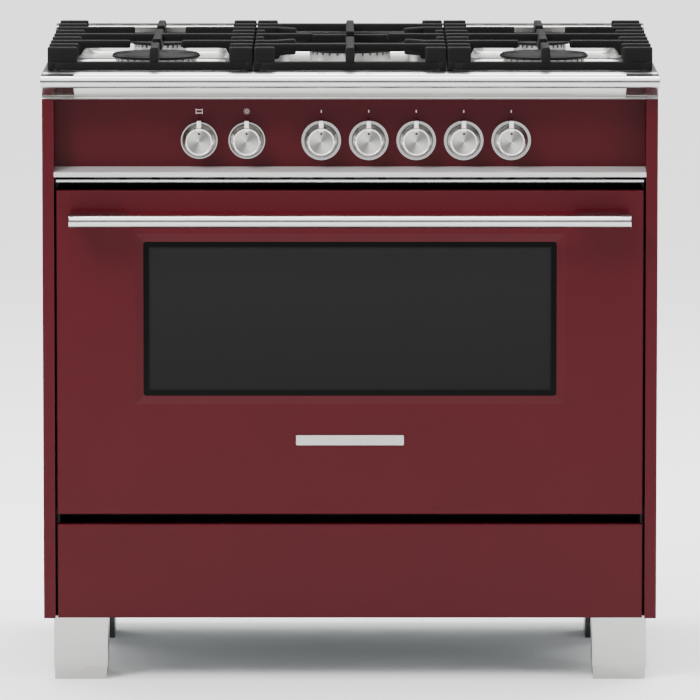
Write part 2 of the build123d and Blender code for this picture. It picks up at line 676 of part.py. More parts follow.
def knob(x):
    """A skirted metal knob with a pointer fin, a dished face and a marker dot."""
    bore = STEM_RADIUS + RUNNING_FIT
    steps = [
        (bore, SKIRT_OUT + 2),
        (HUB_RADIUS, SKIRT_OUT + 2),
        (SKIRT_RADIUS - 2, SKIRT_OUT),
        (SKIRT_RADIUS, SKIRT_OUT),
        (SKIRT_RADIUS, SKIRT_OUT + 2.5),
        (CAP_RADIUS - 2, SKIRT_OUT + 9),
        (CAP_RADIUS - 2, SKIRT_OUT + 11),
        (CAP_RADIUS, SKIRT_OUT + 12),
        (CAP_RADIUS, KNOB_OUT - 1.2),
        (CAP_RADIUS - 1.2, KNOB_OUT),
        (FACE_RADIUS + 0.3, KNOB_OUT),
        (FACE_RADIUS, KNOB_OUT - 0.6),
        (0, KNOB_OUT - 0.6),
        (0, STEM_GRIP + 1),
        (bore, STEM_GRIP + 1),
    ]
    with BuildPart() as piece:
        with BuildSketch(Plane.XY.offset(KNOB_Z)):
            with BuildLine():
                Polyline(*[(x + r, PANEL_Y - out) for r, out in steps], close=True)
            make_face()
        revolve(axis=Axis((x, PANEL_Y, KNOB_Z), (0, 1, 0)))
        with BuildSketch(Plane.XZ.offset(-(PANEL_Y - SKIRT_OUT - 6))):
            with Locations((x, KNOB_Z + (FIN_REACH + CAP_RADIUS - FIN_ROOT) / 2)):
                RectangleRounded(FIN_WIDTH, FIN_REACH - CAP_RADIUS + FIN_ROOT, 1.2)
        extrude(amount=KNOB_OUT - SKIRT_OUT - 6 - FIN_DROP)
        rod_y(
            x,
            (PANEL_Y - KNOB_OUT, PANEL_Y - KNOB_OUT + 1.1),
            KNOB_Z + DOT_OFF,
            DOT_RADIUS,
            Mode.SUBTRACT,
        )
    return piece


def stem(x):
    """A valve stem that the knob turns on and pushes in."""
    with BuildPart() as piece:
        rod_y(x, (PANEL_Y - STEM_GRIP, PANEL_Y + STEM_TAIL), KNOB_Z, STEM_RADIUS)
    return piece


save(knob(OVEN_KNOBS_X[0]), "oven_knob")
save(stem(OVEN_KNOBS_X[0]), "oven_stem")
save(knob(OVEN_KNOBS_X[1]), "light_fan_knob")
for number, knob_x in enumerate(BURNER_KNOBS_X, 1):
    save(knob(knob_x), f"burner_knob_{number}")
    save(stem(knob_x), f"burner_stem_{number}")

VALVE_Y = (PANEL_Y + PANEL_SHEET + VALVE_BEHIND, PANEL_Y + PANEL_SHEET + VALVE_BEHIND + VALVE_LENGTH)
with BuildPart() as valves_and_switch:
    for knob_x in (*OVEN_KNOBS_X, *BURNER_KNOBS_X):
        block(
            (knob_x - VALVE_WIDTH / 2, knob_x + VALVE_WIDTH / 2),
            VALVE_Y,
            (KNOB_Z - VALVE_HEIGHT / 2, KNOB_Z + VALVE_HEIGHT / 2),
        )
        if knob_x == OVEN_KNOBS_X[1]:
            # The light and fan switch has a spindle of its own
            rod_y(knob_x, (PANEL_Y - STEM_GRIP, VALVE_Y[0]), KNOB_Z, STEM_RADIUS)
        else:
            rod_y(
                knob_x,
                (VALVE_Y[0], PANEL_Y + STEM_TAIL + KNOB_PUSH + 2),
                KNOB_Z,
                STEM_RADIUS + RUNNING_FIT,
                Mode.SUBTRACT,
            )
save(valves_and_switch, "valves_and_switch")

REGULATOR_Y = (BACK_PANEL_Y - SHEET - 70, BACK_PANEL_Y - SHEET - 16)
with BuildPart() as gas_manifold:
    with BuildLine():
        FilletPolyline(
            (OVEN_KNOBS_X[0] - MANIFOLD_LEAD, MANIFOLD_Y, KNOB_Z),
            (MANIFOLD_RUN_X, MANIFOLD_Y, KNOB_Z),
            (MANIFOLD_RUN_X, REGULATOR_Y[0], KNOB_Z),
            radius=40,
        )
    with BuildSketch(
        Plane(
            origin=(OVEN_KNOBS_X[0] - MANIFOLD_LEAD, MANIFOLD_Y, KNOB_Z),
            x_dir=(0, 1, 0),
            z_dir=(1, 0, 0),
        )
    ):
        Circle(MANIFOLD_RADIUS)
    sweep()
save(gas_manifold, "gas_manifold")

with BuildPart() as gas_inlet:
    block((MANIFOLD_RUN_X - 28, MANIFOLD_RUN_X + 28), REGULATOR_Y, (KNOB_Z - 24, KNOB_Z + 24))
    rod_y(MANIFOLD_RUN_X, (REGULATOR_Y[1], BACK_PANEL_Y), KNOB_Z, PIPE_RADIUS + PIPE_UNION)
    rod_y(
        MANIFOLD_RUN_X, (REGULATOR_Y[1], BACK_PANEL_Y + PIPE_STUB), KNOB_Z, PIPE_RADIUS
    )
    rod_z(MANIFOLD_RUN_X, sum(REGULATOR_Y) / 2, (KNOB_Z + 24, KNOB_Z + 40), 20)
save(gas_inlet, "gas_inlet")

with BuildPart() as power_inlet:
    rod_y(
        CORD_ENTRY_X,
        (BACK_PANEL_Y - SHEET - 6, BACK_PANEL_Y),
        CORD_ENTRY_Z,
        CORD_ENTRY_RADIUS - 3,
    )
    rod_y(CORD_ENTRY_X, (BACK_PANEL_Y, BACK_PANEL_Y + 10), CORD_ENTRY_Z, CORD_ENTRY_RADIUS)
    rod_y(
        CORD_ENTRY_X,
        (BACK_PANEL_Y - 20, BACK_PANEL_Y + 20),
        CORD_ENTRY_Z,
        CORD_BORE,
        Mode.SUBTRACT,
    )
save(power_inlet, "power_inlet")

# =====================================================================================
# Oven
# =====================================================================================

LINER_Y = FRAME_Y + LINER
with BuildPart() as oven_liner:
    block(
        (-CAVITY_HALF - LINER, CAVITY_HALF + LINER),
        (LINER_Y, CAVITY_BACK + LINER),
        (CAVITY_Z - LINER, CAVITY_TOP + LINER),
    )
    block(
        (-CAVITY_HALF, CAVITY_HALF),
        (LINER_Y - 5, CAVITY_BACK),
        (CAVITY_Z, CAVITY_TOP),
        Mode.SUBTRACT,
    )
    for level in range(RACK_LEVELS):
        ledge_z = CAVITY_Z + FIRST_LEVEL + level * RACK_PITCH
        for side in (-1, 1):
            block(
                (side * CAVITY_HALF, side * (CAVITY_HALF - LEDGE_WIDTH)),
                (LINER_Y + 4, CAVITY_BACK - 20),
                (ledge_z - LEDGE_HEIGHT, ledge_z),
            )
    rod_y(0, (CAVITY_BACK - 5, CAVITY_BACK + 5), FAN_Z, SHAFT_RADIUS + 3, Mode.SUBTRACT)
save(oven_liner, "oven_liner")

FLOOR_Z = CAVITY_Z + FLOOR_RISE
FLOOR_HALF = CAVITY_HALF - FLOOR_MARGIN
with BuildPart() as oven_floor_plate:
    block((-FLOOR_HALF, FLOOR_HALF), (LINER_Y + 4, CAVITY_BACK - 2), (FLOOR_Z, FLOOR_Z + LINER))
    for side in (-1, 1):
        block(
            (side * FLOOR_HALF, side * (FLOOR_HALF - LINER)),
            (LINER_Y + 4, CAVITY_BACK - 2),
            (CAVITY_Z, FLOOR_Z),
        )
    with Locations((0, (LINER_Y + CAVITY_BACK) / 2, FLOOR_Z)):
        with GridLocations(2 * FLOOR_HALF - 80, 44, 2, 8):
            Box(40, 8, 8, mode=Mode.SUBTRACT)
save(oven_floor_plate, "oven_floor_plate")


def tube_burner(half, z):
    """A U of perforated tube that starts and ends at the cavity's back wall."""
    front = LINER_Y + 70
    with BuildPart() as burner:
        with BuildLine():
            FilletPolyline(
                (-half, CAVITY_BACK, z), (-half, front, z), (half, front, z), (half, CAVITY_BACK, z),
                radius=60,
            )
        with BuildSketch(Plane(origin=(-half, CAVITY_BACK, z), x_dir=(1, 0, 0), z_dir=(0, -1, 0))):
            Circle(BURNER_TUBE)
        sweep()
    return burner


save(tube_burner(BAKE_HALF, CAVITY_Z + 13), "bake_burner")
save(tube_burner(BROIL_HALF, CAVITY_TOP - 22), "broil_burner")

RACK_HALF = CAVITY_HALF - RACK_SIDE_GAP - RACK_WIRE
RACK_Y = (FRAME_Y + RACK_STAND_OFF, CAVITY_BACK - RACK_BACK_GAP)


def rack(level):
    """A wire rack on the ledges of one level, with a raised stop along the back."""
    z = CAVITY_Z + FIRST_LEVEL + level * RACK_PITCH + RUN_GAP + RACK_WIRE
    pitch = 2 * (RACK_HALF - 12) / (RACK_RODS - 1)
    with BuildPart() as piece:
        for side in (-1, 1):
            rod_y(side * RACK_HALF, RACK_Y, z, RACK_WIRE)
            post_x = side * (RACK_HALF - 12 - pitch / 2)
            rod_z(post_x, RACK_Y[1] - RACK_WIRE, (z, z + STOP_RISE), RACK_POST)
        for y in (RACK_Y[0] + RACK_WIRE, sum(RACK_Y) / 2, RACK_Y[1] - RACK_WIRE):
            rod_x((-RACK_HALF, RACK_HALF), y, z, RACK_CROSS)
        rod_x((-RACK_HALF + 12, RACK_HALF - 12), RACK_Y[1] - RACK_WIRE, z + STOP_RISE, RACK_STOP)
        with Locations((0, sum(RACK_Y) / 2, z + RACK_CROSS - 0.6)):
            with GridLocations(pitch, 1, RACK_RODS, 1):
                Cylinder(RACK_ROD, RACK_Y[1] - RACK_Y[0] - 3, rotation=(90, 0, 0))
    return piece


save(rack(1), "lower_rack")
save(rack(3), "upper_rack")

COVER_Y = CAVITY_BACK - COVER_DEPTH
with BuildPart() as fan_cover:
    rod_y(0, (COVER_Y, CAVITY_BACK), FAN_Z, COVER_RADIUS)
    rod_y(0, (COVER_Y + LINER, CAVITY_BACK + 1), FAN_Z, COVER_RADIUS - LINER, Mode.SUBTRACT)
    with Locations(Plane.XZ.offset(-COVER_Y)):
        with Locations((0, FAN_Z)):
            with PolarLocations(COVER_RADIUS * 0.6, 16):
                Box(50, 7, 8, mode=Mode.SUBTRACT)
save(fan_cover, "fan_cover")

FAN_Y = (COVER_Y + LINER + 4, COVER_Y + LINER + 4 + FAN_DEPTH)
with BuildPart() as convection_fan:
    rod_y(0, (FAN_Y[1] - 1.2, FAN_Y[1]), FAN_Z, FAN_RADIUS)
    rod_y(0, (FAN_Y[0], FAN_Y[1]), FAN_Z, 14)
    rod_y(0, (FAN_Y[1], CAVITY_BACK + 30), FAN_Z, SHAFT_RADIUS)
    with Locations(Plane.XZ.offset(-sum(FAN_Y) / 2)):
        with Locations((0, FAN_Z)):
            with PolarLocations(FAN_RADIUS - 22, 8):
                Box(40, 1.6, FAN_DEPTH)
save(convection_fan, "convection_fan")

with BuildPart() as fan_motor:
    rod_y(0, (CAVITY_BACK + LINER, CAVITY_BACK + LINER + 4), FAN_Z, MOTOR_RADIUS + 12)
    rod_y(0, (CAVITY_BACK + LINER, CAVITY_BACK + LINER + MOTOR_LENGTH), FAN_Z, MOTOR_RADIUS)
    rod_y(
        0,
        (CAVITY_BACK, CAVITY_BACK + 34),
        FAN_Z,
        SHAFT_RADIUS + RUNNING_FIT,
        Mode.SUBTRACT,
    )
save(fan_motor, "fan_motor")

with BuildPart() as oven_lamp:
    rod_y(CAVITY_HALF - 100, (CAVITY_BACK - 12, CAVITY_BACK), CAVITY_TOP - 70, 26)
    fillet(oven_lamp.edges().group_by(Axis.Y)[0], 8)
save(oven_lamp, "oven_lamp")

with BuildPart() as door_gasket:
    gasket_y = (FRONT + DOOR_THICK + GASKET_GAP, FRAME_Y)
    grow = GASKET_IN + GASKET_WIDTH
    block(
        (-CAVITY_HALF - grow, CAVITY_HALF + grow), gasket_y, (CAVITY_Z - grow, CAVITY_TOP + grow)
    )
    block(
        (-CAVITY_HALF - GASKET_IN, CAVITY_HALF + GASKET_IN),
        (FRONT, FRAME_Y + 1),
        (CAVITY_Z - GASKET_IN, CAVITY_TOP + GASKET_IN),
        Mode.SUBTRACT,
    )
save(door_gasket, "door_gasket")

# =====================================================================================
# Door
# =====================================================================================

DOOR_BACK = FRONT + DOOR_THICK
SLOT_HALF = ARM_THICK / 2 + SLOT_MARGIN


def hinge_slots():
    """Cut the corner slots that clear the hinge arms through the whole swing."""
    for side in (-1, 1):
        block(
            (side * HINGE_X - SLOT_HALF, side * HINGE_X + SLOT_HALF),
            (HINGE_Y - EYE_RADIUS - 2, DOOR_BACK + 1),
            (DOOR_Z - 1, HINGE_Z + EYE_RADIUS + 2),
            Mode.SUBTRACT,
        )


with BuildPart() as door_skin:
    block((-FACE_HALF, FACE_HALF), (FRONT, DOOR_BACK), (DOOR_Z, DOOR_TOP))
    fillet(door_skin.edges().group_by(Axis.Y)[0], 2)
    # The pan is hollow behind, and thicker round the window where the slope is pressed
    block(
        (-FACE_HALF + SKIN, FACE_HALF - SKIN),
        (FRONT + SKIN, DOOR_BACK + 1),
        (DOOR_Z + SKIN, DOOR_TOP - SKIN),
        Mode.SUBTRACT,
    )
    half_wide = WINDOW_WIDTH / 2 + WINDOW_SLOPE + 10
    half_high = WINDOW_HEIGHT / 2 + WINDOW_SLOPE + 10
    block(
        (-half_wide, half_wide),
        (FRONT + SKIN, FRONT + WINDOW_SINK + SKIN),
        (WINDOW_Z - half_high, WINDOW_Z + half_high),
    )
    with BuildSketch(Plane.XZ.offset(-FRONT)):
        with Locations((0, WINDOW_Z)):
            Rectangle(WINDOW_WIDTH + 2 * WINDOW_SLOPE, WINDOW_HEIGHT + 2 * WINDOW_SLOPE)
    with BuildSketch(Plane.XZ.offset(-FRONT - WINDOW_SINK)):
        with Locations((0, WINDOW_Z)):
            Rectangle(WINDOW_WIDTH, WINDOW_HEIGHT)
    loft(mode=Mode.SUBTRACT)
    with BuildSketch(Plane.XZ.offset(-FRONT - WINDOW_SINK - SKIN - 1)):
        with Locations((0, WINDOW_Z)):
            RectangleRounded(WINDOW_WIDTH - 0.5, WINDOW_HEIGHT - 0.5, 4.5)
    extrude(amount=SKIN + 2, mode=Mode.SUBTRACT)
    hinge_slots()
save(door_skin, "door_skin")

with BuildPart() as door_inner_panel:
    edge = FACE_HALF - SKIN
    block((-edge, edge), (DOOR_BACK - SKIN, DOOR_BACK), (DOOR_Z + SKIN, DOOR_TOP - SKIN))
    block(
        (-INNER_WINDOW_WIDTH / 2, INNER_WINDOW_WIDTH / 2),
        (DOOR_BACK - 5, DOOR_BACK + 1),
        (WINDOW_Z - INNER_WINDOW_HEIGHT / 2, WINDOW_Z + INNER_WINDOW_HEIGHT / 2),
        Mode.SUBTRACT,
    )
    hinge_slots()
save(door_inner_panel, "door_inner_panel")

with BuildPart() as door_glass:
    pane_y = FRONT + WINDOW_SINK + SKIN
    wide = WINDOW_WIDTH / 2 + GLASS_LAP
    high = WINDOW_HEIGHT / 2 + GLASS_LAP
    block((-wide, wide), (pane_y, pane_y + GLASS), (WINDOW_Z - high, WINDOW_Z + high))
    wide = INNER_WINDOW_WIDTH / 2 + GLASS_LAP
    high = INNER_WINDOW_HEIGHT / 2 + GLASS_LAP
    pane_y = DOOR_BACK - SKIN - GLASS
    block((-wide, wide), (pane_y, pane_y + GLASS), (WINDOW_Z - high, WINDOW_Z + high))
save(door_glass, "door_glass")

HANDLE_Y = FRONT - HANDLE_OUT
GRIP_X = FACE_HALF - HANDLE_BRACKET_IN - HANDLE_BRACKET_WIDTH
with BuildPart() as door_handle_bar:
    rod_x((-GRIP_X, GRIP_X), HANDLE_Y, HANDLE_Z, BAR_RADIUS)
save(door_handle_bar, "door_handle_bar")

with BuildPart() as door_handle_brackets:
    with BuildSketch(Plane.YZ.offset(GRIP_X)):
        with BuildLine():
            Polyline(
                (HANDLE_Y, HANDLE_Z - BAR_RADIUS),
                (FRONT, HANDLE_Z - BAR_RADIUS),
                (FRONT, HANDLE_Z + BAR_RADIUS),
                (HANDLE_Y, HANDLE_Z + BAR_RADIUS),
            )
            RadiusArc(
                (HANDLE_Y, HANDLE_Z + BAR_RADIUS), (HANDLE_Y, HANDLE_Z - BAR_RADIUS), -BAR_RADIUS
            )
        make_face()
    extrude(amount=HANDLE_BRACKET_WIDTH)
    ends = door_handle_brackets.faces().filter_by(Axis.X)
    chamfer(ends.sort_by(Axis.X)[-1].edges(), 0.6)
    mirror(about=Plane.YZ)
save(door_handle_brackets, "door_handle_brackets")

with BuildPart() as door_hinges:
    for side in (-1, 1):
        middle = side * HINGE_X
        for cheek in (-SLOT_HALF - 5, SLOT_HALF):
            block(
                (middle + cheek, middle + cheek + 5),
                (HINGE_Y - 8, DOOR_BACK - SKIN),
                (DOOR_Z + SKIN, DOOR_Z + 90),
            )
        block(
            (middle - SLOT_HALF, middle + SLOT_HALF),
            (HINGE_Y - 8, DOOR_BACK - SKIN),
            (DOOR_Z + 60, DOOR_Z + 90),
        )
        rod_x((middle - SLOT_HALF, middle + SLOT_HALF), HINGE_Y, HINGE_Z, PIN_RADIUS)
save(door_hinges, "door_hinges")

with BuildPart() as hinge_receivers:
    for side in (-1, 1):
        arm = (side * HINGE_X - ARM_THICK / 2, side * HINGE_X + ARM_THICK / 2)
        rod_x(arm, HINGE_Y, HINGE_Z, EYE_RADIUS)
        block(arm, (HINGE_Y, FRAME_Y), (HINGE_Z - EYE_RADIUS, HINGE_Z + EYE_RADIUS))
        block(
            (side * HINGE_X - 10, side * HINGE_X + 10),
            (FRAME_Y - 2, FRAME_Y),
            (HINGE_Z - EYE_RADIUS, HINGE_Z + 28),
        )
        rod_x(arm, HINGE_Y, HINGE_Z, PIN_RADIUS + RUNNING_FIT, Mode.SUBTRACT)
save(hinge_receivers, "hinge_receivers")

with BuildPart() as door_badge:
    badge_z = DOOR_Z + BADGE_RISE
    with BuildSketch(Plane.XZ.offset(-FRONT)):
        with Locations((0, badge_z)):
            RectangleRounded(BADGE_WIDTH, BADGE_HEIGHT, 2)
    extrude(amount=BADGE_THICK)
    fillet(door_badge.edges().group_by(Axis.Y)[0], 0.5)
save(door_badge, "door_badge")

# =====================================================================================
# Drawer
# =====================================================================================

FACE_BACK = FRONT + DRAWER_FACE_THICK
with BuildPart() as drawer_front:
    block((-FACE_HALF, FACE_HALF), (FRONT, FACE_BACK), (DRAWER_Z, DRAWER_TOP))
    fillet(drawer_front.edges().group_by(Axis.Y)[0], 2)
    block(
        (-FACE_HALF + SKIN, FACE_HALF - SKIN),
        (FRONT + SKIN, FACE_BACK + 1),
        (DRAWER_Z + SKIN, DRAWER_TOP - SKIN),
        Mode.SUBTRACT,
    )
save(drawer_front, "drawer_front")

BOX_HALF = FACE_HALF - DRAWER_BOX_IN
BOX_Z = DRAWER_Z + DRAWER_BOX_LIFT
BOX_TOP = BOX_Z + DRAWER_BOX_HEIGHT
BOX_Y = (FACE_BACK, BACK_PANEL_Y - DRAWER_BOX_BACK)
with BuildPart() as drawer_box:
    block((-BOX_HALF, BOX_HALF), BOX_Y, (BOX_Z, BOX_TOP))
    # A plate behind the drawer front closes its pan and carries the box
    block((-FACE_HALF, FACE_HALF), (FACE_BACK, FACE_BACK + SHEET), (DRAWER_Z + 4, DRAWER_TOP - 4))
    for side in (-1, 1):
        block(
            (side * BOX_HALF, side * (BOX_HALF + RUNNER_WIDTH)),
            (FRAME_Y + 6, BOX_Y[1]),
            (BOX_TOP - SHEET, BOX_TOP),
        )
    block(
        (-BOX_HALF + SHEET, BOX_HALF - SHEET),
        (BOX_Y[0] + SHEET, BOX_Y[1] - SHEET),
        (BOX_Z + SHEET, BOX_TOP + 1),
        Mode.SUBTRACT,
    )
save(drawer_box, "drawer_box")

RAIL_TOP = BOX_TOP - SHEET - RUN_GAP
with BuildPart() as drawer_rails:
    for side in (-1, 1):
        block(
            (side * INSIDE, side * (BOX_HALF + 2)),
            (FRAME_Y + LINER, BOX_Y[1]),
            (RAIL_TOP - SHEET, RAIL_TOP),
        )
        block(
            (side * INSIDE, side * (INSIDE - SHEET)),
            (FRAME_Y + LINER, BOX_Y[1]),
            (RAIL_TOP - 24, RAIL_TOP),
        )
save(drawer_rails, "drawer_rails")

# =====================================================================================
# Feet
# =====================================================================================

FOOT_X = (HALF - FOOT_IN - FOOT_WIDTH, HALF - FOOT_IN)
with BuildPart() as levelling_feet:
    for side in (-1, 1):
        for setback in (FRONT_FOOT_SETBACK, REAR_FOOT_SETBACK):
            block(
                (side * FOOT_X[0], side * FOOT_X[1]),
                (FRONT + setback, FRONT + setback + FOOT_DEPTH),
                (0, CASE_Z),
            )
save(levelling_feet, "levelling_feet")

with BuildPart() as front_leg_sleeves:
    for side in (-1, 1):
        x_in = side * (FOOT_X[0] - SLEEVE_GAP)
        x_out = side * (FOOT_X[1] + SLEEVE_GAP)
        y_near = FRONT + FRONT_FOOT_SETBACK - SLEEVE_GAP
        y_far = FRONT + FRONT_FOOT_SETBACK + FOOT_DEPTH + SLEEVE_GAP
        block(
            (x_in - side * SHEET, x_out + side * SHEET),
            (y_near - SHEET, y_far + SHEET),
            (SLEEVE_LIFT, CASE_Z),
        )
        block((x_in, x_out), (y_near, y_far), (0, CASE_Z + 1), Mode.SUBTRACT)
save(front_leg_sleeves, "front_leg_sleeves")
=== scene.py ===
import json
import math

import bmesh
import bpy
import numpy as np
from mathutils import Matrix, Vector


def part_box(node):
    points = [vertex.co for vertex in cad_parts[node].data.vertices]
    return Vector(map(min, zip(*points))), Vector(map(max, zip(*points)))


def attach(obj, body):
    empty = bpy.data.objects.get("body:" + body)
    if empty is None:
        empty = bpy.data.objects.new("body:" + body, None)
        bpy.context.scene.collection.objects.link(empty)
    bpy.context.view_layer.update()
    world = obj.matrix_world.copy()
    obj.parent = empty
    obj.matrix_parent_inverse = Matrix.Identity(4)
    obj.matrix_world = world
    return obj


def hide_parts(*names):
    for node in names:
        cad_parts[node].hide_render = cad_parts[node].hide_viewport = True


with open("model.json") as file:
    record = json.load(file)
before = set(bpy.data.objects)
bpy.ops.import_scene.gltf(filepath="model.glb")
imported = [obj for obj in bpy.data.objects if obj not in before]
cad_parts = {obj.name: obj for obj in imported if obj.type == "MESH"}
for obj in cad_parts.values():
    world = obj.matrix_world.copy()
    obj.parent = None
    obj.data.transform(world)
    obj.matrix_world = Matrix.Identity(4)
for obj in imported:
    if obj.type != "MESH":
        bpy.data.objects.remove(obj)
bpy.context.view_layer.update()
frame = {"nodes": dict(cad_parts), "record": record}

bl_info = {
    "name": "Freestanding gas range",
    "version": (1, 0, 0),
    "blender": (4, 5, 0),
    "location": "View3D > Sidebar > Range",
    "description": "Finishes, grates, cooktop, seals, markings and studio of a gas range",
    "category": "Object",
}

MM = 0.001

# Places read from the frame, in metres
DECK_LOW, DECK_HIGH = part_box("cooktop_deck")
GASKET_LOW, GASKET_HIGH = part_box("door_gasket")
GLASS_LOW, GLASS_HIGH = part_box("door_glass")
BACK_LOW, BACK_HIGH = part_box("back_panel")
PANEL_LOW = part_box("control_panel")[0]
KNOBS = ["oven_knob", "light_fan_knob"] + [f"burner_knob_{i}" for i in range(1, 6)]
GRATES = ("left_grate", "centre_grate", "right_grate")

# Sizes of the grates and the cooktop, in millimetres
BAR = 12.0  # cross bar width
SPINE = 14.0  # front-to-back bar width
RING_HEIGHT = 13.0
BAR_ROOT = 2.0  # bars reach into the ring
OUTER_STUB = 44.0
INNER_STUB = 34.6
FINGER_REACH = 38.5  # finger tip from the burner middle
SPINE_GAP = 40.0
CENTRE_GAP = 56.0
FINGER_DEPTH = 12.0
LARGE_CAP = 66.0
SMALL_CAP = 45.0
CAP_CLEAR = 6.0
RELIEF_RUN = 16.0  # length over which a bar gets shallow beside a cap
BURNER_INWARD = 6.0
BURNER_AHEAD = 5.0
WELL_DEPTH = 14.0
WELL_SLOPE = 13.0
WELL_MARGIN = 37.5
WELL_CORNER = 30.0
CENTRE_WELL_HALF = 104.0
RIDGE = 16.0
LIP_HEIGHT = 2.7
FASCIA_SETBACK = 2.0
BEVEL_DEPTH = 12.0
BEVEL_DROP = 4.3
CORNER_STUB = 31.0
SHORT_STUB = 13.0
BEND_START = 32.0  # centre grate's bent bars: from the edge to the bend, and to the tip
BEND_TIP = 58.0
BEND_INWARD = 26.0
PAD = [(5, 0), (6, 0.4), (6, 2.2), (5, 2.4)]  # rubber foot of a grate
SHEET = 1.4
SLOPE_STEP = 1.4
CORNER_STEP = 3.0
FLAT_STEP = 18

# Sizes of the controls, the door glass and the back, in millimetres
KNOB_FACE = 18.0
KNOB_RIM = 20.9
POINTER_HALF = 3.6
POINTER_FOOT = 16.0
DOT_RISE = 12.0
DOT_RADIUS = 2.0
MARK_RISE = 43.0  # middle of a knob to the middle of its mark
ICON_RADIUS = 1.1
GLASS_BORDER = 20.0
SCREW_INSET = 12.0
SCREW_X = (-440.0, -220.0, 0.0, 220.0, 440.0)
SCREW_Z = 450.0

# The camera, in metres
CAMERA_AWAY = 12.0
CAMERA_HEIGHT = 1.8634
AIM_HEIGHT = 0.4965


class RangeSizes(bpy.types.PropertyGroup):
    """Sizes of the finish details that can be changed"""

    cast_round: bpy.props.FloatProperty(
        name="Casting radius", description="Rounding at the ends of the grate bars",
        default=2.2 * MM, min=0.5 * MM, max=5.0 * MM, unit="LENGTH", precision=4)
    draft: bpy.props.FloatProperty(
        name="Casting draft", description="How much narrower each side of a bar is on top",
        default=0.9 * MM, min=0.0, max=2.0 * MM, unit="LENGTH", precision=4)
    screw_radius: bpy.props.FloatProperty(
        name="Screw head radius", description="Radius of the sheet metal screw heads",
        default=4.2 * MM, min=2.0 * MM, max=8.0 * MM, unit="LENGTH", precision=4)
    mark_height: bpy.props.FloatProperty(
        name="Tick height", description="Height of the tick above each burner knob",
        default=4.0 * MM, min=1.0 * MM, max=8.0 * MM, unit="LENGTH", precision=4)
    camera_lens: bpy.props.FloatProperty(
        name="Lens", description="Focal length on a 36 mm sensor",
        default=419.0, min=20.0, max=800.0, unit="CAMERA")


def linear(code):
    """Turn an sRGB hex colour such as 6A2A33 into linear RGBA."""
    values = [int(code[i:i + 2], 16) / 255 for i in (0, 2, 4)]
    return [v / 12.92 if v <= 0.04045 else ((v + 0.055) / 1.055) ** 2.4 for v in values] + [1.0]


class RangeColours(bpy.types.PropertyGroup):
    """Colours that can be changed"""

    enamel: bpy.props.FloatVectorProperty(
        name="Enamel", description="Colour of the outer panels", subtype="COLOR",
        size=4, min=0.0, max=1.0, default=linear("3E0811"))
    steel: bpy.props.FloatVectorProperty(
        name="Steel", description="Colour of the stainless sheet", subtype="COLOR",
        size=4, min=0.0, max=1.0, default=linear("B3B2B0"))
    iron: bpy.props.FloatVectorProperty(
        name="Iron", description="Colour of the cast grates", subtype="COLOR",
        size=4, min=0.0, max=1.0, default=linear("080809"))


# =====================================================================================
# Mesh helpers
# =====================================================================================


def grid_part(points, close_u=False, close_v=False, caps=False):
    """Vertices and quads of an (m, n, 3) grid, closed either way, and capped at its u ends."""
    m, n = points.shape[:2]
    index = np.arange(m * n).reshape(m, n)
    rows = np.vstack([index, index[:1]]) if close_u else index
    rows = np.hstack([rows, rows[:, :1]]) if close_v else rows
    corners = (rows[:-1, :-1], rows[:-1, 1:], rows[1:, 1:], rows[1:, :-1])
    faces = np.stack(corners, -1).reshape(-1, 4).tolist()
    if caps:
        faces += [index[0][::-1].tolist(), index[-1].tolist()]
    return points.reshape(-1, 3), faces


def make_piece(name, parts, material, body, sharp=40.0, closed=True):
    """One mesh object from several (vertices, faces) parts, riding on a body."""
    vertices, faces, start = [], [], 0
    for points, polygons in parts:
        vertices.append(points)
        faces += [[start + i for i in polygon] for polygon in polygons]
        start += len(points)
    mesh = bpy.data.meshes.new(name)
    mesh.from_pydata(np.vstack(vertices).tolist(), [], faces)
    shape = bmesh.new()
    shape.from_mesh(mesh)
    if closed:
        bmesh.ops.recalc_face_normals(shape, faces=shape.faces)
    for edge in shape.edges:
        edge.smooth = edge.calc_face_angle(0.0) < math.radians(sharp)
    for face in shape.faces:
        face.smooth = True
    shape.to_mesh(mesh)
    shape.free()
    piece = bpy.data.objects.new(name, mesh)
    bpy.context.scene.collection.objects.link(piece)
    mesh.materials.append(material)
    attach(piece, body)
    return piece


def superellipse(count, power):
    """|u| to the power plus |v| to the power is 1, from angle 0 round to a full turn."""
    angle = np.linspace(0, 2 * np.pi, count, endpoint=False)
    cos, sin = np.cos(angle), np.sin(angle)
    return (
        np.sign(cos) * np.abs(cos) ** (2 / power),
        np.sign(sin) * np.abs(sin) ** (2 / power),
    )


def smoothstep(value):
    """0 below 0, 1 above 1, and 3 t squared less 2 t cubed between."""
    t = np.clip(value, 0.0, 1.0)
    return t * t * (3 - 2 * t)


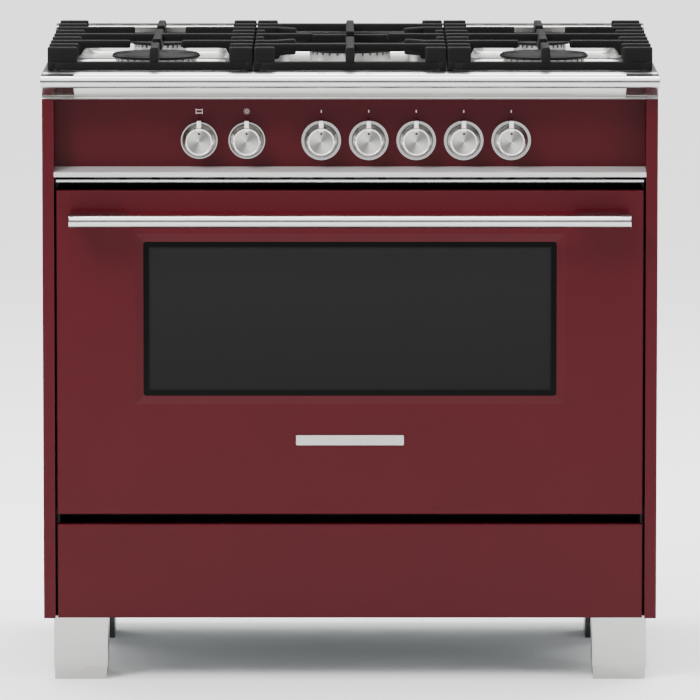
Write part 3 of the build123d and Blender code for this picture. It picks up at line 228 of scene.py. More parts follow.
def cast_bar(stations, width, sizes, count=28):
    """A cast bar through (x, y, low z, high z) stations in mm. Each carries a superellipse as
    wide as the bar and as tall as the station, narrower on top by the draft. At each end three
    more stations shrink along a quarter circle, which rounds the end."""
    path = np.array(stations, float)
    turn = np.radians([80.0, 50.0, 20.0])
    rounding, draft = sizes.cast_round / MM, sizes.draft / MM
    inset = rounding * (1 - np.sin(turn))
    shrunk = rounding * (1 - np.cos(turn))
    ahead = path[1, :2] - path[0, :2]
    behind = path[-2, :2] - path[-1, :2]
    start, finish = np.repeat(path[:1], 3, 0), np.repeat(path[-1:], 3, 0)
    start[:, :2] += inset[:, None] * ahead / np.linalg.norm(ahead)
    finish[:, :2] += inset[::-1, None] * behind / np.linalg.norm(behind)
    points = np.vstack([start, path[1:-1], finish])
    shrink = np.concatenate([shrunk, np.zeros(len(path) - 2), shrunk[::-1]])
    direction = np.gradient(points[:, :2], axis=0)
    direction /= np.linalg.norm(direction, axis=1)[:, None]
    across = np.stack([-direction[:, 1], direction[:, 0]], -1)
    u, v = superellipse(count, 6)
    half = width / 2 - shrink[:, None] - draft * (v[None, :] + 1) / 2
    grid = np.empty((len(points), count, 3))
    grid[:, :, :2] = points[:, None, :2] + across[:, None, :] * (half * u)[:, :, None]
    middle, tall = points[:, 2:].mean(1), (points[:, 3] - points[:, 2]) / 2 - shrink
    grid[:, :, 2] = middle[:, None] + tall[:, None] * v
    return grid_part(grid * MM, close_v=True, caps=True)


def revolved(profile, centre, axis, count=32):
    """Turn an outline of (radius, distance) points, in mm, round an axis through the centre."""
    profile = np.array(profile, float) * MM
    angle = np.linspace(0, 2 * np.pi, count, endpoint=False)
    ring = np.stack([np.cos(angle), np.sin(angle), np.zeros(count)], -1)
    grid = profile[:, None, :1] * ring[None] + profile[:, None, 1:] * np.array([0, 0, 1.0])
    turn = Vector((0, 0, 1)).rotation_difference(Vector(axis)).to_matrix()
    return grid_part(grid @ np.array(turn).T + np.array(centre), close_v=True, caps=True)


def flat_mark(outline, centre, right, up, thick=0.12):
    """A thin printed shape: an outline of (right, up) points in mm, raised by its thickness."""
    outline = np.array(outline, float) * MM
    right, up = np.array(right, float), np.array(up, float)
    out = np.cross(right, up)
    base = np.array(centre) + outline[:, :1] * right + outline[:, 1:] * up
    return grid_part(np.stack([base, base + out * thick * MM]), close_v=True, caps=True)


# =====================================================================================
# Materials
# =====================================================================================


def add(tree, kind, inputs=None, **settings):
    """Add a node with its settings, and set each input to a value or link it to a socket."""
    made = tree.nodes.new(kind)
    for name, value in settings.items():
        setattr(made, name, value)
    for name, value in (inputs or {}).items():
        if isinstance(value, bpy.types.NodeSocket):
            tree.links.new(value, made.inputs[name])
        else:
            made.inputs[name].default_value = value
    return made


def begin(name, colour, **constants):
    """A new material: its tree, its shader with constants set, and its Object coordinates."""
    material = bpy.data.materials.new(name)
    material.use_nodes = True
    tree = material.node_tree
    shader = tree.nodes["Principled BSDF"]
    shader.inputs["Base Color"].default_value = colour
    for key, value in constants.items():
        shader.inputs[key.replace("_", " ").title().replace("Ior", "IOR")].default_value = value
    place = add(tree, "ShaderNodeTexCoord").outputs["Object"]
    return material, tree, shader, place


def noise(tree, place, size_mm, detail=3.0, stretch=(1, 1, 1), roughness=0.5):
    """Noise with features of a real size in mm, drawn out by a stretch along each axis."""
    scale = [1 / (size_mm * MM * s) for s in stretch]
    spread = add(tree, "ShaderNodeMapping", {"Vector": place, "Scale": scale})
    return add(tree, "ShaderNodeTexNoise", {
        "Vector": spread.outputs["Vector"], "Scale": 1.0, "Detail": detail,
        "Roughness": roughness,
    }).outputs["Fac"]


def remap(tree, value, low, high, from_low=0.3, from_high=0.7):
    """Turn a pattern's middle range into a range of values."""
    return add(tree, "ShaderNodeMapRange", {
        "Value": value, "From Min": from_low, "From Max": from_high, "To Min": low, "To Max": high,
    }).outputs["Result"]


def blend(tree, factor, first, second):
    """Mix two colours by a factor."""
    return add(tree, "ShaderNodeMix", {0: factor, 6: first, 7: second},
               data_type="RGBA").outputs[2]


def maths(tree, operation, *values):
    """The result of one math operation on values or sockets."""
    return add(tree, "ShaderNodeMath", dict(enumerate(values)), operation=operation).outputs[0]


def wire(tree, shader, **sockets):
    """Link sockets to the shader inputs that their keywords name."""
    for key, socket in sockets.items():
        tree.links.new(socket, shader.inputs[key.replace("_", " ").title()])


def grain_along(tree, shader, direction):
    """Stretch the highlight across a grain that runs in a direction in object space."""
    turned = add(tree, "ShaderNodeVectorTransform", {"Vector": direction},
                 vector_type="VECTOR", convert_from="OBJECT", convert_to="WORLD")
    wire(tree, shader, tangent=turned.outputs["Vector"])


def bump(tree, shader, height, depth_mm, strength=1.0):
    """Raise the surface by a pattern, to a real depth in mm."""
    made = add(tree, "ShaderNodeBump", {
        "Height": height, "Distance": depth_mm * MM, "Strength": strength})
    wire(tree, shader, normal=made.outputs["Normal"])


def shade(colour, factor):
    """A colour made darker or lighter by a factor."""
    return [min(1.0, c * factor) for c in colour[:3]] + [1.0]


def fired_enamel(name, colour, rough=0.3, coat=0.06):
    """Porcelain enamel, sprayed on steel and fired: a glassy coat with a faint orange peel, a
    slightly uneven colour and the odd dull spot where it has been wiped."""
    material, tree, shader, place = begin(name, colour, roughness=rough, coat_weight=coat,
                                          coat_roughness=0.05, specular_ior_level=0.09)
    cloud = noise(tree, place, 90, 2)
    tone = blend(tree, remap(tree, cloud, 0, 1), shade(colour, 0.97), shade(colour, 1.03))
    wire(tree, shader, base_color=tone)
    wiped = noise(tree, place, 25, 4, (4, 1, 1))
    wire(tree, shader, roughness=remap(tree, wiped, rough, rough * 1.15))
    bump(tree, shader, noise(tree, place, 6, 1), 0.02, 0.35)
    return material


def speckled_enamel(name, ground, speck):
    """Ground-coat enamel of an oven cavity: dark glass with fine pale specks, 2 to 3 mm apart."""
    material, tree, shader, place = begin(name, ground, roughness=0.22, coat_weight=0.5,
                                          coat_roughness=0.1)
    cells = add(tree, "ShaderNodeTexVoronoi", {"Vector": place, "Scale": 1 / (4 * MM)})
    dots = remap(tree, cells.outputs["Distance"], 1, 0, 0.14, 0.2)
    wire(tree, shader, base_color=blend(tree, dots, ground, speck),
         roughness=remap(tree, noise(tree, place, 40), 0.16, 0.36))
    bump(tree, shader, noise(tree, place, 5, 1), 0.03, 0.4)
    return material


def brushed_steel(name, colour, rough=0.3, spread=0.14, metallic=1.0):
    """Stainless sheet with a brushed grain along X. The lines are about 0.2 mm apart on
    the real sheet and are drawn 0.9 mm apart, so that they show."""
    material, tree, shader, place = begin(name, colour, metallic=metallic, roughness=rough,
                                          anisotropic=0.55)
    lines = noise(tree, place, 0.9, 2, (60, 1, 1))
    smears = noise(tree, place, 120, 2)
    tone = blend(tree, remap(tree, lines, 0, 1), shade(colour, 0.9), shade(colour, 1.06))
    wire(tree, shader, base_color=tone)
    both = maths(tree, "ADD", lines, smears)
    wire(tree, shader,
         roughness=remap(tree, both, rough - spread / 2, rough + spread / 2, 0.5, 1.5))
    grain_along(tree, shader, (1, 0, 0))
    bump(tree, shader, lines, 0.012, 0.5)
    return material


def polished_steel(name, colour, rough=0.07):
    """Polished stainless bar: nearly a mirror, with fine draw lines and finger smears."""
    material, tree, shader, place = begin(name, colour, metallic=1.0, roughness=rough)
    lines = noise(tree, place, 0.8, 2, (50, 1, 1))
    smears = noise(tree, place, 30, 4)
    both = maths(tree, "ADD", lines, smears)
    wire(tree, shader, roughness=remap(tree, both, rough * 0.8, rough * 1.5, 0.7, 1.3))
    bump(tree, shader, lines, 0.001, 0.3)
    return material


def turned_steel(name, colour, centre):
    """A knob turned on a lathe: rings about its axis 0.35 mm apart, drawn 0.8 mm apart, with
    the grain running round. A painted highlight fans out from the middle as two bright and two
    dark sectors painted into the colour. Its rim is polished and painted lighter, a painted
    highlight; its pointer is painted near white, a painted highlight; its skirt is bead
    blasted, so its roughness stays even, and painted lighter, painted light over the shade of
    the cap and bezel; its dot is painted dark, painted shade in its recess."""
    material, tree, shader, place = begin(name, colour, metallic=1.0, roughness=0.26,
                                          anisotropic=0.9)
    offset = add(tree, "ShaderNodeVectorMath", {0: place, 1: centre}, operation="SUBTRACT")
    flat = add(tree, "ShaderNodeVectorMath", {0: offset.outputs[0], 1: (1, 0, 1)},
               operation="MULTIPLY")
    round_way = add(tree, "ShaderNodeVectorMath", {0: flat.outputs[0], 1: (0, 1, 0)},
                    operation="CROSS_PRODUCT")
    grain_along(tree, shader, round_way.outputs[0])
    radius = add(tree, "ShaderNodeVectorMath", {0: flat.outputs[0]},
                 operation="LENGTH").outputs["Value"]
    rings = add(tree, "ShaderNodeTexNoise", {
        "W": maths(tree, "MULTIPLY", radius, 1 / (0.8 * MM)), "Scale": 1.0, "Detail": 2.0,
    }, noise_dimensions="1D").outputs["Fac"]
    split = add(tree, "ShaderNodeSeparateXYZ", {"Vector": flat.outputs[0]}).outputs
    angle = maths(tree, "ARCTAN2", split["Z"], split["X"])
    # Painted highlight: a sine of twice the angle round the axis paints two bright and two dark
    # sectors into the face colour.
    painted_fan_highlight = maths(tree, "SINE", maths(tree, "MULTIPLY_ADD", angle, 2.0, math.pi))
    face = blend(tree, remap(tree, painted_fan_highlight, 0, 1, -1, 1), shade(colour, 0.22), shade(colour, 1.05))
    face = blend(tree, remap(tree, rings, 0, 0.3), face, shade(colour, 0.5))
    rim_polish_and_highlight = remap(tree, radius, 0, 1, (KNOB_FACE - 0.4) * MM, KNOB_FACE * MM)
    skirt = remap(tree, radius, 0, 1, (KNOB_RIM - 0.3) * MM, KNOB_RIM * MM)
    aside = maths(tree, "ABSOLUTE", split["X"])
    pointer = maths(
        tree, "MULTIPLY",
        remap(tree, aside, 1, 0, (POINTER_HALF - 0.3) * MM, POINTER_HALF * MM),
        remap(tree, split["Z"], 0, 1, (POINTER_FOOT - 1) * MM, POINTER_FOOT * MM))
    # Painted shade: the dot's recess is painted dark grey.
    to_dot = add(tree, "ShaderNodeVectorMath", {0: flat.outputs[0], 1: (0, 0, DOT_RISE * MM)},
                 operation="DISTANCE").outputs["Value"]
    dot = remap(tree, to_dot, 1, 0, (DOT_RADIUS - 0.3) * MM, DOT_RADIUS * MM)
    tone = blend(tree, dot, face, linear("3A3A3A"))
    # Painted highlight: the polished rim is painted 1.45 times lighter than the face.
    tone = blend(tree, rim_polish_and_highlight, tone, shade(colour, 1.45))
    # Painted light: the skirt is painted 1.2 times lighter, over the shade of the cap and bezel.
    tone = blend(tree, skirt, tone, shade(colour, 1.2))
    rough = add(tree, "ShaderNodeMix", {0: rim_polish_and_highlight, 2: remap(tree, rings, 0.2, 0.32), 3: 0.12})
    rough = add(tree, "ShaderNodeMix", {0: skirt, 2: rough.outputs[0], 3: 0.3})
    # Painted highlight: the pointer is painted near white.
    wire(tree, shader, base_color=blend(tree, pointer, tone, linear("F4F4F2")),
         roughness=rough.outputs[0])
    bump(tree, shader, rings, 0.006, 0.4)
    return material


def edged_steel(name, front, colour, painted):
    """Stainless sheet painted a matte dark colour behind a plane across the Y axis, as painted
    shade on what stands in shade there.
    """
    material, tree, shader, place = begin(name, colour, roughness=0.3)
    depth = add(tree, "ShaderNodeSeparateXYZ", {"Vector": place}).outputs["Y"]
    # Painted shade: behind the plane the colour turns dark and the sheet stops being metal.
    behind = remap(tree, depth, 0, 1, front + 0.2 * MM, front + 0.5 * MM)
    wire(tree, shader, base_color=blend(tree, behind, colour, painted),
         metallic=remap(tree, behind, 1, 0, 0, 1),
         roughness=remap(tree, noise(tree, place, 8), 0.26, 0.4))
    return material


def cast_surface(name, colour, grain_mm, rough, metallic=0.0, depth=0.18, edge_highlight_colour="2C2C2C"):
    """A sand casting: a granular skin, a mottled tone, and sharp edges painted paler where the
    grain is high, a painted highlight.
    """
    material, tree, shader, place = begin(name, colour, metallic=metallic, roughness=rough,
                                          specular_ior_level=0.14)
    grain = noise(tree, place, grain_mm, 4, roughness=0.65)
    patches = noise(tree, place, 22, 3)
    tone = blend(tree, remap(tree, patches, 0, 1), shade(colour, 0.78), shade(colour, 1.2))
    # Painted highlight: sharp edges, found by their pointiness, are painted paler where the grain
    # is high.
    edge = add(tree, "ShaderNodeNewGeometry").outputs["Pointiness"]
    edge_highlight = maths(tree, "MULTIPLY", remap(tree, edge, 0, 0.5, 0.52, 0.6),
                 remap(tree, grain, 0.4, 1))
    wire(tree, shader, base_color=blend(tree, edge_highlight, tone, linear(edge_highlight_colour)),
         roughness=remap(tree, grain, rough - 0.12, rough + 0.14))
    bump(tree, shader, grain, depth, 0.7)
    return material


def zinc_sheet(name, colour):
    """Hot-dip galvanised sheet: zinc crystals 6 to 12 mm across, each with its own sheen."""
    material, tree, shader, place = begin(name, colour, metallic=0.85, roughness=0.42)
    spangle = add(tree, "ShaderNodeTexVoronoi", {"Vector": place, "Scale": 1 / (9 * MM)})
    grey = add(tree, "ShaderNodeSeparateColor", {"Color": spangle.outputs["Color"]}).outputs[0]
    tone = blend(tree, grey, shade(colour, 0.86), shade(colour, 1.08))
    wire(tree, shader, base_color=tone)
    wire(tree, shader, roughness=remap(tree, grey, 0.34, 0.52, 0, 1))
    bump(tree, shader, noise(tree, place, 3, 2), 0.02, 0.3)
    return material


def smoked_glass(name, low, high):
    """Toughened door glass: smoked in the middle, with a printed black border that fades into
    the clear part through rows of dots 2 mm apart. The smoked part is painted lighter towards
    the top, painted light."""
    material, tree, shader, place = begin(name, linear("2A2828"), roughness=0.08,
                                          specular_ior_level=0.06)
    middle, half = (low + high) / 2, (high - low) / 2
    offset = add(tree, "ShaderNodeVectorMath", {0: place, 1: middle}, operation="SUBTRACT")
    size = add(tree, "ShaderNodeVectorMath", {0: offset.outputs[0]}, operation="ABSOLUTE")
    split = add(tree, "ShaderNodeSeparateXYZ", {"Vector": size.outputs[0]}).outputs
    near = maths(tree, "MINIMUM", maths(tree, "SUBTRACT", half.x, split["X"]),
                 maths(tree, "SUBTRACT", half.z, split["Z"]))
    border = remap(tree, near, 1, 0, (GLASS_BORDER - 0.5) * MM, (GLASS_BORDER + 0.5) * MM)
    dots = add(tree, "ShaderNodeTexVoronoi", {"Vector": place, "Scale": 1 / (2 * MM),
                                              "Randomness": 0.0})
    fade = remap(tree, near, 0.55, 0.0, GLASS_BORDER * MM, (GLASS_BORDER + 7) * MM)
    spot = maths(tree, "LESS_THAN", dots.outputs["Distance"], fade)
    printed = maths(tree, "MAXIMUM", border, spot)
    # Painted light: the smoked part is painted darker at the bottom and lighter at the top.
    rise = add(tree, "ShaderNodeSeparateXYZ", {"Vector": place}).outputs["Z"]
    depth = remap(tree, rise, 0, 1, low.z, high.z)
    clear = blend(tree, depth, linear("121212"), linear("1C1B1B"))
    wire(tree, shader, base_color=blend(tree, printed, clear, linear("020202")),
         roughness=remap(tree, noise(tree, place, 60, 3), 0.03, 0.09))
    return material


def clear_glass(name, colour, rough):
    """Pressed lamp glass: clear, a little wavy, slightly frosted."""
    material, tree, shader, place = begin(name, colour, roughness=rough, transmission_weight=0.8,
                                          ior=1.5)
    wire(tree, shader, roughness=remap(tree, noise(tree, place, 8), rough, rough * 1.6))
    bump(tree, shader, noise(tree, place, 6), 0.1, 0.4)
    return material


def plain_finish(name, colour, rough, metallic=0.0, size=14, depth=0.02, specks=0.12):
    """Moulded, plated or painted parts: a slightly uneven tone and gloss at a real scale."""
    material, tree, shader, place = begin(name, colour, metallic=metallic, roughness=rough)
    cloud = noise(tree, place, size, 4)
    tone = blend(tree, remap(tree, cloud, 0, 1), shade(colour, 1 - specks),
                 shade(colour, 1 + specks))
    wire(tree, shader, base_color=tone)
    wire(tree, shader, roughness=remap(tree, cloud, rough - 0.06, rough + 0.08))
    bump(tree, shader, noise(tree, place, size / 6, 2), depth, 0.5)
    return material


def braided_seal(name, colour):
    """Braided glass fibre over a wire core: two sets of strands 2.4 mm apart that cross."""
    material, tree, shader, place = begin(name, colour, roughness=0.85, sheen_weight=0.3)
    spun = add(tree, "ShaderNodeMapping", {"Vector": place, "Rotation": (0.785, 0.785, 0.785),
                                           "Scale": (420, 420, 420)}).outputs["Vector"]
    weave = add(tree, "ShaderNodeTexChecker", {"Vector": spun, "Scale": 1.0}).outputs["Fac"]
    strands = noise(tree, place, 0.8, 2)
    tone = blend(tree, weave, shade(colour, 0.7), shade(colour, 1.25))
    wire(tree, shader,
         base_color=blend(tree, remap(tree, strands, 0, 0.5), tone, shade(colour, 0.5)))
    bump(tree, shader, weave, 0.3, 0.6)
    return material


def all_finishes(colours):
    """Every finish of the range, by the name of its slot."""
    steel = list(colours.steel)
    return {
        "red_enamel": fired_enamel("red fired enamel", list(colours.enamel)),
        "black_enamel": fired_enamel("black satin enamel", linear("0B0B0C"), 0.4, 0.2),
        "cavity_enamel": speckled_enamel("speckled oven enamel", linear("15161C"),
                                         linear("8C8E98")),
        "stainless": brushed_steel("stainless steel, brushed", steel),
        "polished_steel": polished_steel("stainless steel, polished", linear("BDBDBC"), 0.16),
        "ledge_steel": brushed_steel("stainless steel, satin", linear("C6C2C2"), 0.5, 0.1,
                                     0.45),
        "bezel_steel": polished_steel("stainless steel, drawn ring", linear("9C9C9B"), 0.1),
        # Painted shade: the top of the vent trim, in the gap under the ledge, is painted black.
        "trim_steel": edged_steel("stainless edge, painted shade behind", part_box("vent_trim")[0].y,
                                  linear("D6D6D5"), linear("0A0A0A")),
        # Painted shade: the rear legs are painted dark grey.
        "leg_steel": edged_steel("stainless legs, rear legs in painted shade", 0.0, steel,
                                 linear("2E2E2F")),
        "galvanised": zinc_sheet("galvanised sheet", linear("9EA2A4")),
        "cast_iron": cast_surface("cast iron, matte enamelled", list(colours.iron), 1.6, 0.58),
        "cap_enamel": cast_surface("burner cap enamel", linear("0B0B0C"), 0.9, 0.5, depth=0.06,
                                   edge_highlight_colour="1E1E1E"),
        "aluminium": cast_surface("die-cast aluminium", linear("B4B4B2"), 0.7, 0.4, 0.9, 0.04,
                                  "DADAD8"),
        "oven_glass": smoked_glass("smoked oven glass", GLASS_LOW, GLASS_HIGH),
        "lamp_glass": clear_glass("frosted lamp glass", linear("E8E6DE"), 0.2),
        "brass": plain_finish("brass, machined", linear("B08D57"), 0.3, 1.0, 6),
        "gas_pipe": plain_finish("zinc plated pipe", linear("8E8B80"), 0.38, 0.9, 12),
        "rubber": plain_finish("moulded rubber", linear("141414"), 0.62, 0.0, 5, 0.05),
        "gasket": braided_seal("braided glass fibre seal", linear("4A4844")),
        "ceramic": plain_finish("glazed ceramic", linear("E9E6DC"), 0.2, 0.0, 4, 0.01, 0.04),
        "foot_steel": plain_finish("grey painted steel", linear("565656"), 0.45, 0.2, 8, 0.03),
    }


MADE = {}  # finishes made so far, by slot


def finish(context, slot):
    """The finish of a material slot. All finishes are made on first use."""
    if not MADE:
        MADE.update(all_finishes(context.scene.range_colours))
    return MADE[slot]


# =====================================================================================
# Operators
# =====================================================================================


class RANGE_OT_finishes(bpy.types.Operator):
    """Give each panel, bar, burner and oven part the finish of its slot"""

    bl_idname = "range_parts.finishes"
    bl_label = "Finishes"

    def execute(self, context):
        # The vent trim and the levelling feet get steel that turns dark behind a plane, as painted
        # shade.
        special = {"levelling_feet": "leg_steel", "knob_bezels": "bezel_steel",
                   "control_ledge": "ledge_steel", "vent_trim": "trim_steel"}
        for part in frame["record"]["subparts"]:
            node, slot = part["node"], part["material_slot"]
            paint(node, finish(context, special.get(node, slot)))
        return {"FINISHED"}


def paint(node, material):
    """Put a finish on a CAD node."""
    piece = frame["nodes"][node]
    if not piece.material_slots:
        piece.data.materials.append(material)
    for place in piece.material_slots:
        place.material = material


class RANGE_OT_knobs(bpy.types.Operator):
    """Turned finish of the seven knobs, with painted highlights and painted shade, each centred on
    its own axis
    """

    bl_idname = "range_parts.knobs"
    bl_label = "Knobs"

    def execute(self, context):
        for node in KNOBS:
            x, z = knob_middle(node)
            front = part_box(node)[0].y
            paint(node, turned_steel(f"stainless steel, turned, {node}", linear("CFCECB"),
                                     (x, front, z)))
        return {"FINISHED"}


def knob_middle(node):
    """The X and Z of a knob's axis: its skirt is round, so its width gives the middle."""
    low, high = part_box(node)
    half = (high.x - low.x) / 2
    return low.x + half, low.z + half


def burners():
    """(x, y, cap radius) in mm of the five burners, from the places of the grates."""
    low, high = [np.array(corner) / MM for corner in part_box("right_grate")]
    middle = (low[0] + high[0]) / 2 - BURNER_INWARD
    pitch = (high[1] - low[1] - BAR) / 8
    row = [low[1] + BAR / 2 + pitch * i - BURNER_AHEAD for i in (2, 4, 6)]
    return [(-middle, row[0], LARGE_CAP), (middle, row[0], LARGE_CAP), (0, row[1], LARGE_CAP),
            (-middle, row[2], SMALL_CAP), (middle, row[2], SMALL_CAP)]


def bar_path(corners, low, top, spacing=4.0, deep=()):
    """Stations every 4 mm along straight runs between (x, y) corners. The underside is at the
    low height, and rises smoothly to a shallow finger where a burner cap is near, and, where
    the X limits of a deep part are given, past them."""
    corners = np.array(corners, float)
    runs = []
    for start, end in zip(corners[:-1], corners[1:]):
        count = max(3, int(np.linalg.norm(end - start) / spacing))
        runs.append(start + np.linspace(0, 1, count, endpoint=False)[:, None] * (end - start))
    xy = np.vstack(runs + [corners[-1:]])
    bottom = np.full(len(xy), float(low))
    for x, y, cap in burners():
        near = np.hypot(xy[:, 0] - x, xy[:, 1] - y)
        lift = smoothstep((cap + CAP_CLEAR + RELIEF_RUN - near) / RELIEF_RUN)
        bottom = np.maximum(bottom, low + (top - FINGER_DEPTH - low) * lift)
    if deep:
        past = np.minimum(xy[:, 0] - deep[0], deep[1] - xy[:, 0])
        bottom = np.maximum(bottom, low + (top - FINGER_DEPTH - low) * smoothstep(past / 8))
    return np.column_stack([xy, bottom, np.full(len(xy), float(top))])


def grate_parts(node, sizes):
    """The bars of one grate: a low ring to stand on, and cross bars, fingers and spines."""
    low, high = [np.array(corner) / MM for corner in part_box(node)]
    ring_top = low[2] + RING_HEIGHT
    root, top = ring_top - BAR_ROOT, high[2]
    pitch = (high[1] - low[1] - BAR) / 8
    row = [low[1] + BAR / 2 + pitch * i for i in range(-1, 9)]
    half = BAR / 2
    ring = []
    for y in (low[1] + half, high[1] - half):
        ring.append([(low[0], y), (high[0], y)])
    for x in (low[0] + half, high[0] - half):
        ring.append([(x, low[1]), (x, high[1])])
    bars, fingers, spines = [], [], []
    deep = (low[0] + INNER_STUB, high[0] - INNER_STUB)
    if node == "centre_grate":
        cap_y = row[5] - BURNER_AHEAD
        for i in (2, 8):
            fingers.append([(low[0], row[i]), (high[0], row[i])])
        for side, edge in ((-1, low[0]), (1, high[0])):
            for i, length in ((1, CORNER_STUB), (9, CORNER_STUB),
                              (4, SHORT_STUB), (6, SHORT_STUB)):
                bars.append([(edge, row[i]), (edge - side * length, row[i])])
            fingers.append([(edge, row[5]), (side * (LARGE_CAP - 10), row[5])])
            for i, inward in ((3, 1), (7, -1)):
                bend, tip = edge - side * BEND_START, edge - side * BEND_TIP
                bars.append([(edge, row[i]), (bend, row[i]),
                             (tip, row[i] + BEND_INWARD * inward)])
        spines += [[(0, low[1]), (0, cap_y - CENTRE_GAP)], [(0, cap_y + CENTRE_GAP), (0, high[1])]]
    else:
        side = 1 if high[0] > 0 else -1
        outer, inner = (high[0], low[0]) if side > 0 else (low[0], high[0])
        x = (outer + inner) / 2 - side * BURNER_INWARD
        front, rear = row[3] - BURNER_AHEAD, row[7] - BURNER_AHEAD
        for i in (1, 2, 4, 6, 8, 9):
            bars.append([(outer, row[i]), (outer - side * OUTER_STUB, row[i])])
            bars.append([(inner, row[i]), (inner + side * INNER_STUB, row[i])])
        stubs = sorted([outer - side * OUTER_STUB, inner + side * INNER_STUB])
        deep = (stubs[0], stubs[1])
        for i in (3, 7):
            fingers.append([(outer, row[i]), (x + side * FINGER_REACH, row[i])])
            fingers.append([(inner, row[i]), (x - side * FINGER_REACH, row[i])])
        fingers.append([(low[0], row[5]), (high[0], row[5])])
        spines += [[(x, low[1]), (x, front - SPINE_GAP)],
                   [(x, front + SPINE_GAP), (x, rear - SPINE_GAP)],
                   [(x, rear + SPINE_GAP), (x, high[1])]]
    parts = [cast_bar(bar_path(line, low[2], ring_top, 30), BAR, sizes) for line in ring]
    parts += [cast_bar(bar_path(line, root, top), BAR, sizes) for line in bars]
    parts += [cast_bar(bar_path(line, root, top, 4.0, deep), BAR, sizes) for line in fingers]
    return parts + [cast_bar(bar_path(line, root, top), SPINE, sizes) for line in spines]


class RANGE_OT_grates(bpy.types.Operator):
    """Three cast grates, with rounded bar ends and fingers cut away over the burner caps"""

    bl_idname = "range_parts.grates"
    bl_label = "Grates"

    def execute(self, context):
        for node in GRATES:
            piece = make_piece(f"cast_{node}", grate_parts(node, context.scene.range_sizes),
                               finish(context, "cast_iron"), node, 50)
            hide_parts(node)
            low, high = [np.array(corner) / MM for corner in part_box(node)]
            pads = [revolved(PAD, (x * MM, y * MM, (low[2] - 1) * MM), (0, 0, 1), 20)
                    for x in (low[0] + BAR, high[0] - BAR)
                    for y in (low[1] + BAR / 2, high[1] - BAR / 2)]
            make_piece(f"pads_of_{node}", pads, finish(context, "rubber"), node)
        return {"FINISHED"}


def fine_lines(edges, start, end):
    """Grid lines from start to end: 1.4 mm apart over the slope of a well that begins at an
    edge and goes in along its sign, 3 mm apart over its corner and 18 mm apart elsewhere."""
    lines = [np.linspace(start, end, int((end - start) / FLAT_STEP))]
    for edge, inward in edges:
        lines.append(edge + inward * np.arange(-SLOPE_STEP, WELL_SLOPE + SLOPE_STEP, SLOPE_STEP))
        lines.append(edge + inward * np.arange(WELL_SLOPE, WELL_CORNER + CORNER_STEP,
                                               CORNER_STEP))
    lines = np.unique(np.round(np.concatenate(lines), 1))
    keep = np.concatenate([[True], np.diff(lines) > SLOPE_STEP / 2])
    return lines[keep]


def well_boxes():
    """(low x, high x, low y, high y) in mm of the five wells, from the places of the grates."""
    low, high = [np.array(corner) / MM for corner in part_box("right_grate")]
    front, rear = low[1] + BAR + 3, high[1] - BAR
    ridge = low[1] + (high[1] - low[1]) * 0.425
    inner, outer = low[0] + WELL_MARGIN, high[0] - WELL_MARGIN
    boxes = [(-CENTRE_WELL_HALF, CENTRE_WELL_HALF, front, rear)]
    for a, b in ((inner, outer), (-outer, -inner)):
        boxes += [(a, b, front, ridge - RIDGE / 2), (a, b, ridge + RIDGE / 2, rear)]
    return boxes


def deck_sheet():
    """The pressed cooktop. Its height is the lowest of a side edge profile and a front edge
    profile, less the depth of a well times a smoothstep of the distance in from the well's
    rim, which is a rectangle with round corners."""
    low, high = np.array(DECK_LOW) / MM, np.array(DECK_HIGH) / MM
    face, top, skirt = low[1] + FASCIA_SETBACK, high[2], low[2] + 0.2
    boxes = well_boxes()
    arc = np.radians(np.linspace(0, 90, 6))
    side = [(0, skirt), (0, skirt + 18)]
    side += [(3 - 3 * math.cos(a), top - 3 + 3 * math.sin(a)) for a in arc]
    front = [(0, skirt), (0, top - BEVEL_DROP - 1.5), (0.25, top - BEVEL_DROP - 0.5),
             (1.2, top - BEVEL_DROP + 0.3), (BEVEL_DEPTH - 1.2, top - 0.55),
             (BEVEL_DEPTH, top - 0.15), (BEVEL_DEPTH + 1.5, top)]
    back = [(0, top), (0, skirt)]
    x_inner = fine_lines([e for b in boxes for e in ((b[0], 1), (b[1], -1))],
                         low[0] + 8, high[0] - 8)
    y_inner = fine_lines([e for b in boxes for e in ((b[2], 1), (b[3], -1))],
                         face + BEVEL_DEPTH + 4, high[1] - 8)
    x = np.concatenate([[low[0] + d for d, z in side], x_inner,
                        [high[0] - d for d, z in side][::-1]])
    x_top = np.concatenate([[z for d, z in side], np.full(len(x_inner), top),
                            [z for d, z in side][::-1]])
    y = np.concatenate([[face + d for d, z in front], y_inner, [high[1] - d for d, z in back]])
    y_top = np.concatenate([[z for d, z in front], np.full(len(y_inner), top),
                            [z for d, z in back]])
    height = np.minimum(x_top[:, None], y_top[None, :])
    for x0, x1, y0, y1 in boxes:
        away_x = np.abs(x - (x0 + x1) / 2) - (x1 - x0) / 2 + WELL_CORNER
        away_y = np.abs(y - (y0 + y1) / 2) - (y1 - y0) / 2 + WELL_CORNER
        ax, ay = away_x[:, None], away_y[None, :]
        distance = (np.hypot(np.maximum(ax, 0), np.maximum(ay, 0))
                    + np.minimum(np.maximum(ax, ay), 0) - WELL_CORNER)
        height = height - WELL_DEPTH * smoothstep(-distance / WELL_SLOPE)
    grid = np.empty((len(y), len(x), 3))
    grid[:, :, 0], grid[:, :, 1], grid[:, :, 2] = x[None, :], y[:, None], height.T
    return grid_part(grid * MM)


